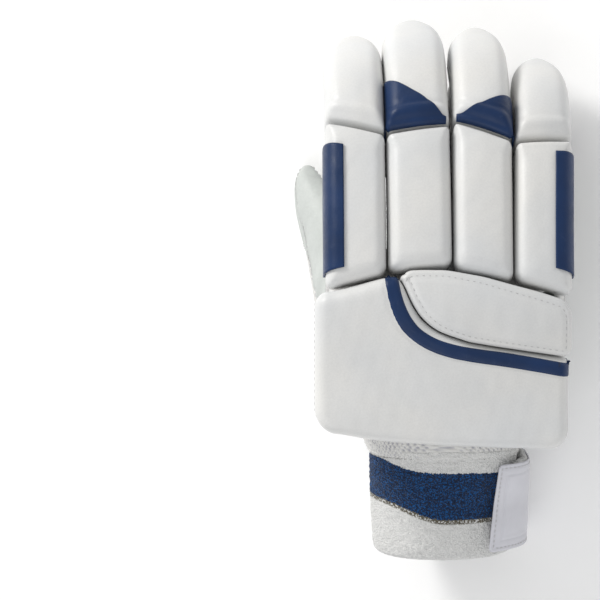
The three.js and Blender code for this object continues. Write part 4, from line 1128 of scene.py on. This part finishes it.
# Along, bow, width, thickness, out and tilt of each section of the thumb: shares of the thumb's length,
# width and thickness, a share of the hand's width, and degrees.
THUMB_STATIONS = np.array([
    (0, 0, 1.1, 0.95, 0, 7), (0.146, -0.086, 1.0, 1.0, 0.035, 10), (0.33, -0.1, 0.98, 1.0, 0.08, 11),
    (0.503, -0.088, 0.88, 0.97, 0.115, 13), (0.677, -0.077, 0.7, 0.88, 0.155, 18),
    (0.814, -0.061, 0.52, 0.74, 0.205, 26), (0.925, -0.036, 0.34, 0.52, 0.24, 28),
    (0.995, -0.01, 0.16, 0.27, 0.25, 28),
])
THUMB_SEAM = table([(-0.2, -0.142), (0.562, -0.104), (0.967, -0.004), (1.2, 0.05)])
PATCH_SEAM = table([(-0.4, 0.9), (-0.194, 0.723), (-0.104, 0.562), (0.0, 0.4)])


def thumb_surface(r, turn, grow=0.0):
    """A place on the thumb: r counts sections from the palm, turn runs round from the finger side."""
    r, turn = np.broadcast_arrays(r, turn)
    knots = np.arange(8)
    whole = np.clip(r, 0, 7)
    along, bow, width, thick, out, tilt = (spline(knots, THUMB_STATIONS[:, k], whole) for k in range(6))
    cap = np.sqrt(np.clip(1 - np.clip(r - 7, 0, 1) ** 2, 0, 1))
    along = along + np.clip(r - 7, 0, 1) * 0.02
    half_width = width * THUMB_WIDTH / 2 * cap + grow
    half_thick = thick * THUMB_THICKNESS / 2 * cap + grow
    tilt = np.radians(tilt)
    run, rise = along[..., None] * THUMB_LENGTH * THUMB_RUN, bow[..., None] * THUMB_LENGTH * THUMB_RISE
    centre = THUMB_ORIGIN + run + rise - np.stack([out * HAND_WIDTH, 0 * out, 0 * out], -1)
    up = np.stack([0 * tilt, np.cos(tilt), np.sin(tilt)], -1) * signed_power(np.cos(turn), 0.86)[..., None]
    side = np.stack([half_thick * signed_power(np.sin(turn), 0.86), 0 * r, 0 * r], -1)
    return centre + up * half_width[..., None] + side


def thumb_shares(points):
    """Shares of the thumb's length along it and across its bow."""
    away = points - THUMB_ORIGIN
    return away @ THUMB_RUN / THUMB_LENGTH, away @ THUMB_RISE / THUMB_LENGTH


def seam_turn(r):
    """Turn at which the leather meets the mesh, for each place along the thumb."""
    turns = np.linspace(0.05, math.pi - 0.05, 120)
    points = thumb_surface(np.asarray(r)[:, None], turns[None, :])
    along, bow = thumb_shares(points)
    above = bow - THUMB_SEAM(along)
    k = np.clip((above > 0).sum(1), 1, len(turns) - 1)
    row = np.arange(len(r))
    a, b = above[row, k - 1], above[row, k]
    share = np.clip(a / np.where(np.abs(a - b) < 1e-9, 1, a - b), 0, 1)
    return turns[k - 1] + share * (turns[k] - turns[k - 1])


def thumb_rows(lateral, front, first, last, rows):
    """Grid over part of the thumb between two limits of r that depend on the place across."""
    share = np.linspace(0, 1, rows)[:, None]
    r = first[None, :] + (last - first)[None, :] * share
    samples = np.linspace(0, 8, 260)
    edge = np.interp(r, samples, seam_turn(samples))
    across = np.broadcast_to(lateral[None, :], r.shape)
    turn = edge * (2 * across - 1) if front else edge + (2 * math.pi - 2 * edge) * across
    return r, turn


def leaving_body(lateral, front):
    """r at which each line along the thumb comes out of the hand's body."""
    samples = np.linspace(0, 5, 120)
    r, turn = thumb_rows(lateral, front, np.zeros(len(lateral)), np.full(len(lateral), 5.0), len(samples))
    hidden = inside_body(thumb_surface(r, turn), 2.0)
    last = np.where(hidden.any(0), len(samples) - 1 - hidden[::-1].argmax(0), 0)
    return samples[last]


def make_thumb():
    lateral = np.linspace(0, 1, 90)
    first = leaving_body(lateral, True)
    r, turn = thumb_rows(lateral, True, first, np.full(len(lateral), 7.98), 150)
    points = thumb_surface(r, turn)
    spot = points.reshape(-1, 3)
    creases = np.sin(r * 9.5 + 2.2 * waves(spot, 26, 31).reshape(r.shape)) * 0.55 * bell(r, 1.2, 1.1)
    soft = 0.45 * waves(spot, 22, 33).reshape(r.shape) + 0.12 * waves(spot, 6, 34).reshape(r.shape)
    grid = thumb_surface(r, turn, creases + soft)
    make_skin("thumb_leather_front", grid, "palm_leather", "thumb_leather", 1.6, 0.0, 0.7)

    lateral = np.linspace(0, 1, 150)
    first = leaving_body(lateral, False)
    samples = np.linspace(0, 7.9, 200)
    r, turn = thumb_rows(lateral, False, 0 * lateral, 0 * lateral + 7.9, len(samples))
    along, bow = thumb_shares(thumb_surface(r, turn))
    in_mesh = along < PATCH_SEAM(bow)
    border = samples[np.maximum(in_mesh.cumprod(0).sum(0) - 1, 0)]
    border = np.convolve(np.pad(border, 4, mode="edge"), np.ones(9) / 9, "valid")
    first = np.minimum(first, border - 0.4)
    r, turn = thumb_rows(lateral, False, first, border, 190)
    plain = thumb_surface(r, turn)
    u = np.cumsum(np.linalg.norm(np.diff(plain, axis=1, prepend=plain[:, :1]), axis=2), axis=1)
    u = u - u[:, [75]]
    v = np.cumsum(np.linalg.norm(np.diff(plain, axis=0, prepend=plain[:1]), axis=2), axis=0)
    pitch = 2.9
    deep = hex_holes(u / pitch, v / pitch)
    soft = 0.3 * waves(plain.reshape(-1, 3), 24, 41).reshape(r.shape)
    grid = thumb_surface(r, turn, 0.25 - 0.85 * deep + soft)
    points, faces = skin(grid, 1.4, 0.0, 0.6)
    made = make_object("thumb_spacer_mesh", points, faces, finish("spacer_mesh"),
                       {"deep": np.concatenate([deep.ravel(), 0 * deep.ravel()])})
    settle(made, "mesh_fabric", "thumb_mesh")

    r, turn = thumb_rows(lateral, False, border + 0.02, 0 * lateral + 7.98, 60)
    plain = thumb_surface(r, turn)
    grid = thumb_surface(r, turn, 0.3 * waves(plain.reshape(-1, 3), 14, 47).reshape(r.shape))
    make_skin("thumb_patch", grid, "palm_leather", "thumb_tip_patch", 1.6, 0.1, 0.6)

    shape = dict(length=1.8, gap=1.0, radius=0.22)
    for name, side, start in (("inner", 1, 2.2), ("outer", -1, 1.6)):
        rows = np.linspace(start, 7.6, 120)
        radius = np.maximum(np.interp(rows, [0, 4, 7, 7.6], [24, 22, 7, 4]), 2)
        turn = side * (seam_turn(rows) - 2.2 / radius)
        path = thumb_surface(rows, turn, 0.2)
        make_stitches(f"thumb_seam_{name}_1", path, thumb_surface(rows, turn, 1.2) - path, **shape)
    rows = border + 0.22
    edge = seam_turn(rows)
    turn = edge + (2 * math.pi - 2 * edge) * lateral
    path = thumb_surface(rows, turn, 0.35)[6:-6]
    ups = thumb_surface(rows, turn, 1.35)[6:-6] - path
    make_stitches("thumb_patch_stitches", path, ups, **shape)


def hex_holes(u, v):
    """Depth from 0 to 1 of round holes in a staggered pattern one unit apart."""
    best = np.full(np.shape(u), 9.0)
    height = math.sqrt(3)
    for shift_u, shift_v in ((0, 0), (0.5, height / 2)):
        du = u - shift_u - np.round(u - shift_u)
        dv = (v - shift_v) - np.round((v - shift_v) / height) * height
        best = np.minimum(best, np.hypot(du, dv))
    return ease((0.42 - best) / 0.26)


# Shells of the hand, made fine from their solids

def fine_shell(node, name, voxel, smoothing):
    """A dense, smooth copy of a solid of the frame: points in the glove's own frame, and faces."""
    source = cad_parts[node]
    copy = bpy.data.objects.new(name + "_work", source.data.copy())
    bpy.context.scene.collection.objects.link(copy)
    remesh = copy.modifiers.new("fine", "REMESH")
    remesh.mode = "VOXEL"
    remesh.voxel_size = voxel * MM
    relax = copy.modifiers.new("relax", "SMOOTH")
    relax.factor, relax.iterations = 0.5, smoothing
    depsgraph = bpy.context.evaluated_depsgraph_get()
    mesh = bpy.data.meshes.new_from_object(copy.evaluated_get(depsgraph))
    co = np.empty(len(mesh.vertices) * 3)
    mesh.vertices.foreach_get("co", co)
    no = np.empty(len(mesh.vertices) * 3)
    mesh.vertices.foreach_get("normal", no)
    faces = [tuple(p.vertices) for p in mesh.polygons]
    old = copy.data
    bpy.data.objects.remove(copy)
    bpy.data.meshes.remove(old)
    bpy.data.meshes.remove(mesh)
    return unlay(co.reshape(-1, 3)), no.reshape(-1, 3) @ REST_TURN, faces


def seam_stitches(points, faces):
    """Stitches on the palm's leather below the knitted band, along the outer sides of the hand."""
    tree = BVHTree.FromPolygons(points.tolist(), faces)
    for finger, side in (("index", -1), ("little", 1)):
        s = np.arange(18.0, along_finger(FINGERS[finger]["tip"]) - 6, 0.9)
        h = band_edges(s)[0] - 1.9
        starts = over(finger, np.full(s.shape, side * 60.0), s, h) + np.array([side * 45.0, 0, 0])
        path, ups = [], []
        for start in starts:
            place, normal, _, far = tree.ray_cast(Vector(start), Vector((-side, 0, 0)), 80)
            if place is not None and 4 < len(path) < 12 and (place - path[-1]).length > 6:
                path, ups = [], []
            if place is not None and (len(path) < 5 or (place - path[-1]).length < 6):
                path.append(place)
                ups.append(normal if normal.x * side > 0 else -normal)
        if len(path) > 20:
            path, ups = np.array(path), np.array(ups)
            for table_ in (path, ups):
                table_[2:-2] = sum(table_[k:len(table_) - 4 + k] for k in range(5)) / 5
            make_stitches("palm_seam_" + finger, path, ups, length=2.0, gap=1.1, radius=0.25, sink=0.0)


def make_back():
    points, normals, faces = fine_shell("back_panel", "leather_back", 1.5, 6)
    points = points + normals * (0.3 + 0.22 * waves(points, 24, 51) + 0.08 * waves(points, 7, 52))[:, None]
    made = make_object("leather_back", points, faces, finish("pad_leather"))
    settle(made, "white_leather", "back_panel")


def make_palm():
    points, normals, faces = fine_shell("palm_panel", "leather_palm", 1.5, 6)
    _, x, s, h = flat_places(points)
    joints = sum(bell(s, along_finger(share), 2.2) for share in (0.16, 0.45, 0.68))
    palm_lines = bell(s, 62 + x * 0.25, 2.4) + bell(s, 40 - x * 0.35, 2.6)
    creases = -0.8 * joints - 0.9 * palm_lines * ease((-h - 30) / 12)
    soft = 0.5 * waves(points, 26, 61) + 0.18 * waves(points, 8, 62)
    points = points + normals * (0.25 + creases + soft)[:, None]
    made = make_object("leather_palm", points, faces, finish("palm_leather"))
    settle(made, "palm_leather", "palm_panel")
    seam_stitches(points, faces)


def make_band():
    points, normals, faces = fine_shell("side_band", "knit_band", 1.15, 4)
    which, _, s, h = flat_places(points)
    low, high = band_edges(s)
    across = np.clip((h - low) / (high - low), 0, 1)
    ribs = 0.25 + 0.16 * np.cos(2 * math.pi * across * 8)
    points = points + normals * ribs[:, None]
    tuck = 0.9 * ease((across - 0.85) / 0.15) - 1.8 * ease((0.15 - across) / 0.15)
    angle = np.choose(which, [curl_angle(finger, s) for finger in FINGERS.values()])
    points = points + np.stack([0 * s, np.sin(angle), np.cos(angle)], -1) * tuck[:, None]
    made = make_object("knit_band", points, faces, finish("side_knit"), {"across": across, "run": s})
    settle(made, "knit", "side_band")


# Operators

def colour(name, description, *default):
    """A colour property with a fully opaque default."""
    return bpy.props.FloatVectorProperty(
        name=name, description=description, default=(*default, 1), subtype="COLOR", size=4, min=0, max=1)


class GloveColours(bpy.types.PropertyGroup):
    """Colours of the glove's finishes."""

    white: colour("White leather", "Pads and back of the hand", 0.77, 0.765, 0.745)
    white_shadow: colour("White leather, cooler", "Cooler patches of the white leather", 0.71, 0.72, 0.725)
    palm: colour("Palm leather", "Soft leather of palm and thumb", 0.60, 0.63, 0.61)
    navy: colour("Navy leather", "Panels, triangles and stripe", 0.005, 0.023, 0.08)
    worn: colour("Worn navy", "Rubbed grain of the navy leather", 0.07, 0.10, 0.19)
    knit_navy: colour("Knit navy", "Wide stripe of the side band", 0.006, 0.013, 0.085)
    khaki: colour("Khaki", "Narrow stripe of the side band, and line under the cuff's", 0.26, 0.23, 0.16)
    mesh_hollow: colour("Mesh hollows", "Shade inside the holes of the mesh", 0.42, 0.42, 0.47)
    towel: colour("Towelling", "Cuff and strap", 0.9, 0.9, 0.885)
    towel_navy: colour("Towelling navy", "Band round the cuff", 0.003, 0.014, 0.05)
    towel_bright: colour("Towelling, bright loops", "Bright loops in the navy band", 0.004, 0.1, 0.33)
    vinyl: colour("Tab", "Smooth tab on the strap", 0.68, 0.68, 0.73)
    thread: colour("Thread", "Stitching", 0.66, 0.66, 0.66)
    floor: colour("Floor", "Pale floor under the glove", 0.96, 0.96, 0.96)


class GloveSizes(bpy.types.PropertyGroup):
    """Sizes that a maker would change."""

    stitch_length: bpy.props.FloatProperty(
        name="Stitch length", description="Length of one stitch on the pads, in millimetres",
        default=2.0, min=0.8, max=5)
    stitch_gap: bpy.props.FloatProperty(
        name="Stitch gap", description="Leather between two stitches, in millimetres",
        default=1.1, min=0.3, max=4)
    lens: bpy.props.FloatProperty(
        name="Lens", description="Focal length of the camera, in millimetres",
        default=144, min=20, max=400)
    distance: bpy.props.FloatProperty(
        name="Camera distance", description="From the camera to the glove",
        default=1.2, min=0.3, max=5, unit="LENGTH")


class GLOVE_OT_stage(bpy.types.Operator):
    """Floor, soft lights and camera"""

    bl_idname = "glove.stage"
    bl_label = "Stage"

    def execute(self, context):
        scene, sizes = context.scene, context.scene.glove_sizes
        half = 3.0
        corners = [(-half, -half, 0), (half, -half, 0), (half, half, 0), (-half, half, 0)]
        mesh = bpy.data.meshes.new("floor")
        mesh.from_pydata(corners, [], [(0, 1, 2, 3)])
        mesh.materials.append(finish("floor"))
        floor = bpy.data.objects.new("floor", mesh)
        scene.collection.objects.link(floor)
        target = Vector(lay([(-73, 72, 20)])[0])
        tilt = math.radians(8)
        back = Vector(REST_TURN @ np.array([0, math.sin(tilt), math.cos(tilt)]))
        up = Vector(REST_TURN @ np.array([0, math.cos(tilt), -math.sin(tilt)]))
        camera = bpy.data.objects.new("camera", bpy.data.cameras.new("camera"))
        camera.data.lens = sizes.lens
        camera.data.sensor_width = 36
        camera.data.clip_start, camera.data.clip_end = 0.05, 20
        right = up.cross(back)
        place = target + back * sizes.distance
        rows = [(right[k], up[k], back[k], place[k]) for k in range(3)]
        camera.matrix_world = Matrix([*rows, (0, 0, 0, 1)])
        scene.collection.objects.link(camera)
        scene.camera = camera
        lights = (
            ("key", (-1.0, 1.0, 0.9), 0.55, 18.0, (1.0, 0.985, 0.96)),
            ("fill", (0.1, -0.9, 1.1), 1.0, 4.5, (0.97, 0.98, 1.0)),
        )
        for name, place, size, power, color in lights:
            data = bpy.data.lights.new(name, "AREA")
            data.size, data.energy, data.color = size, power, color
            lamp = bpy.data.objects.new(name, data)
            lamp.location = place
            lamp.rotation_mode = "QUATERNION"
            lamp.rotation_quaternion = (Vector(place) - Vector((0, 0, 0.05))).to_track_quat("Z", "Y")
            scene.collection.objects.link(lamp)
        world = bpy.data.worlds.new("soft_sky")
        world.use_nodes = True
        world.node_tree.nodes["Background"].inputs["Color"].default_value = (1, 1, 1, 1)
        world.node_tree.nodes["Background"].inputs["Strength"].default_value = 0.55
        scene.world = world
        scene.view_settings.view_transform = "Standard"
        return {"FINISHED"}


class GLOVE_OT_finger_pads(bpy.types.Operator):
    """Foam rolls over the fingers with their navy panels and triangles"""

    bl_idname = "glove.finger_pads"
    bl_label = "Finger pads"

    def execute(self, context):
        for name in FINGERS:
            mid, tip = roll_pad(name, False), roll_pad(name, True)
            make_pad("long_roll_" + name, mid, "mid_pad_" + name, fill=0.9)
            make_pad("end_roll_" + name, tip, "tip_pad_" + name, fill=0.95)
            if name in ("index", "little"):
                side_panel(mid, name)
            else:
                tip_triangle(tip, name)
        return {"FINISHED"}


class GLOVE_OT_back_pads(bpy.types.Operator):
    """Hand pad with its stripe, and the stitched knuckle pad"""

    bl_idname = "glove.back_pads"
    bl_label = "Back pads"

    def execute(self, context):
        sizes = context.scene.glove_sizes
        shape = dict(length=sizes.stitch_length, gap=sizes.stitch_gap)
        hand, knuckle = hand_pad(), knuckle_pad()
        make_pad("hand_pad_foam", hand, "hand_pad", fill=0.9)
        hand_stripe(hand)
        make_stitches("hand_pad_stitches", *hand.wall_line(0.2), radius=0.2, sink=0.1, **shape)
        make_pad("knuckle_pad_foam", knuckle, "knuckle_pad", fill=0.8)
        make_stitches("knuckle_pad_stitches", *knuckle.line(knuckle.inset_line(STITCH_INSET)), **shape)
        return {"FINISHED"}


class GLOVE_OT_shells(bpy.types.Operator):
    """Leather back, leather palm and knitted side band"""

    bl_idname = "glove.shells"
    bl_label = "Hand shells"

    def execute(self, context):
        make_back()
        make_palm()
        make_band()
        make_wrist_mesh()
        return {"FINISHED"}


class GLOVE_OT_thumb(bpy.types.Operator):
    """Thumb with leather front, mesh back and tip patch"""

    bl_idname = "glove.thumb"
    bl_label = "Thumb"

    def execute(self, context):
        make_thumb()
        return {"FINISHED"}


class GLOVE_OT_cuff(bpy.types.Operator):
    """Towelling cuff, wrist strap and tab"""

    bl_idname = "glove.cuff"
    bl_label = "Cuff and strap"

    def execute(self, context):
        make_cuff()
        make_strap()
        make_tab()
        return {"FINISHED"}


STEPS = (
    GLOVE_OT_stage, GLOVE_OT_finger_pads, GLOVE_OT_back_pads,
    GLOVE_OT_shells, GLOVE_OT_thumb, GLOVE_OT_cuff,
)


class GLOVE_PT_panel(bpy.types.Panel):
    """Steps, sizes and colours of the glove"""

    bl_idname = "GLOVE_PT_panel"
    bl_label = "Batting glove"
    bl_space_type = "VIEW_3D"
    bl_region_type = "UI"
    bl_category = "Glove"

    def draw(self, context):
        for step in STEPS:
            self.layout.operator(step.bl_idname)
        for group in (context.scene.glove_sizes, context.scene.glove_colours):
            for key in group.__annotations__:
                self.layout.prop(group, key)


CLASSES = (GloveColours, GloveSizes, *STEPS, GLOVE_PT_panel)


def register():
    for cls in CLASSES:
        bpy.utils.register_class(cls)
    bpy.types.Scene.glove_colours = bpy.props.PointerProperty(type=GloveColours)
    bpy.types.Scene.glove_sizes = bpy.props.PointerProperty(type=GloveSizes)


def unregister():
    del bpy.types.Scene.glove_sizes
    del bpy.types.Scene.glove_colours
    for cls in reversed(CLASSES):
        bpy.utils.unregister_class(cls)


def main():
    register()
    for step in STEPS:
        group, _, operator = step.bl_idname.partition(".")
        getattr(getattr(bpy.ops, group), operator)()


if __name__ == "__main__":
    main()
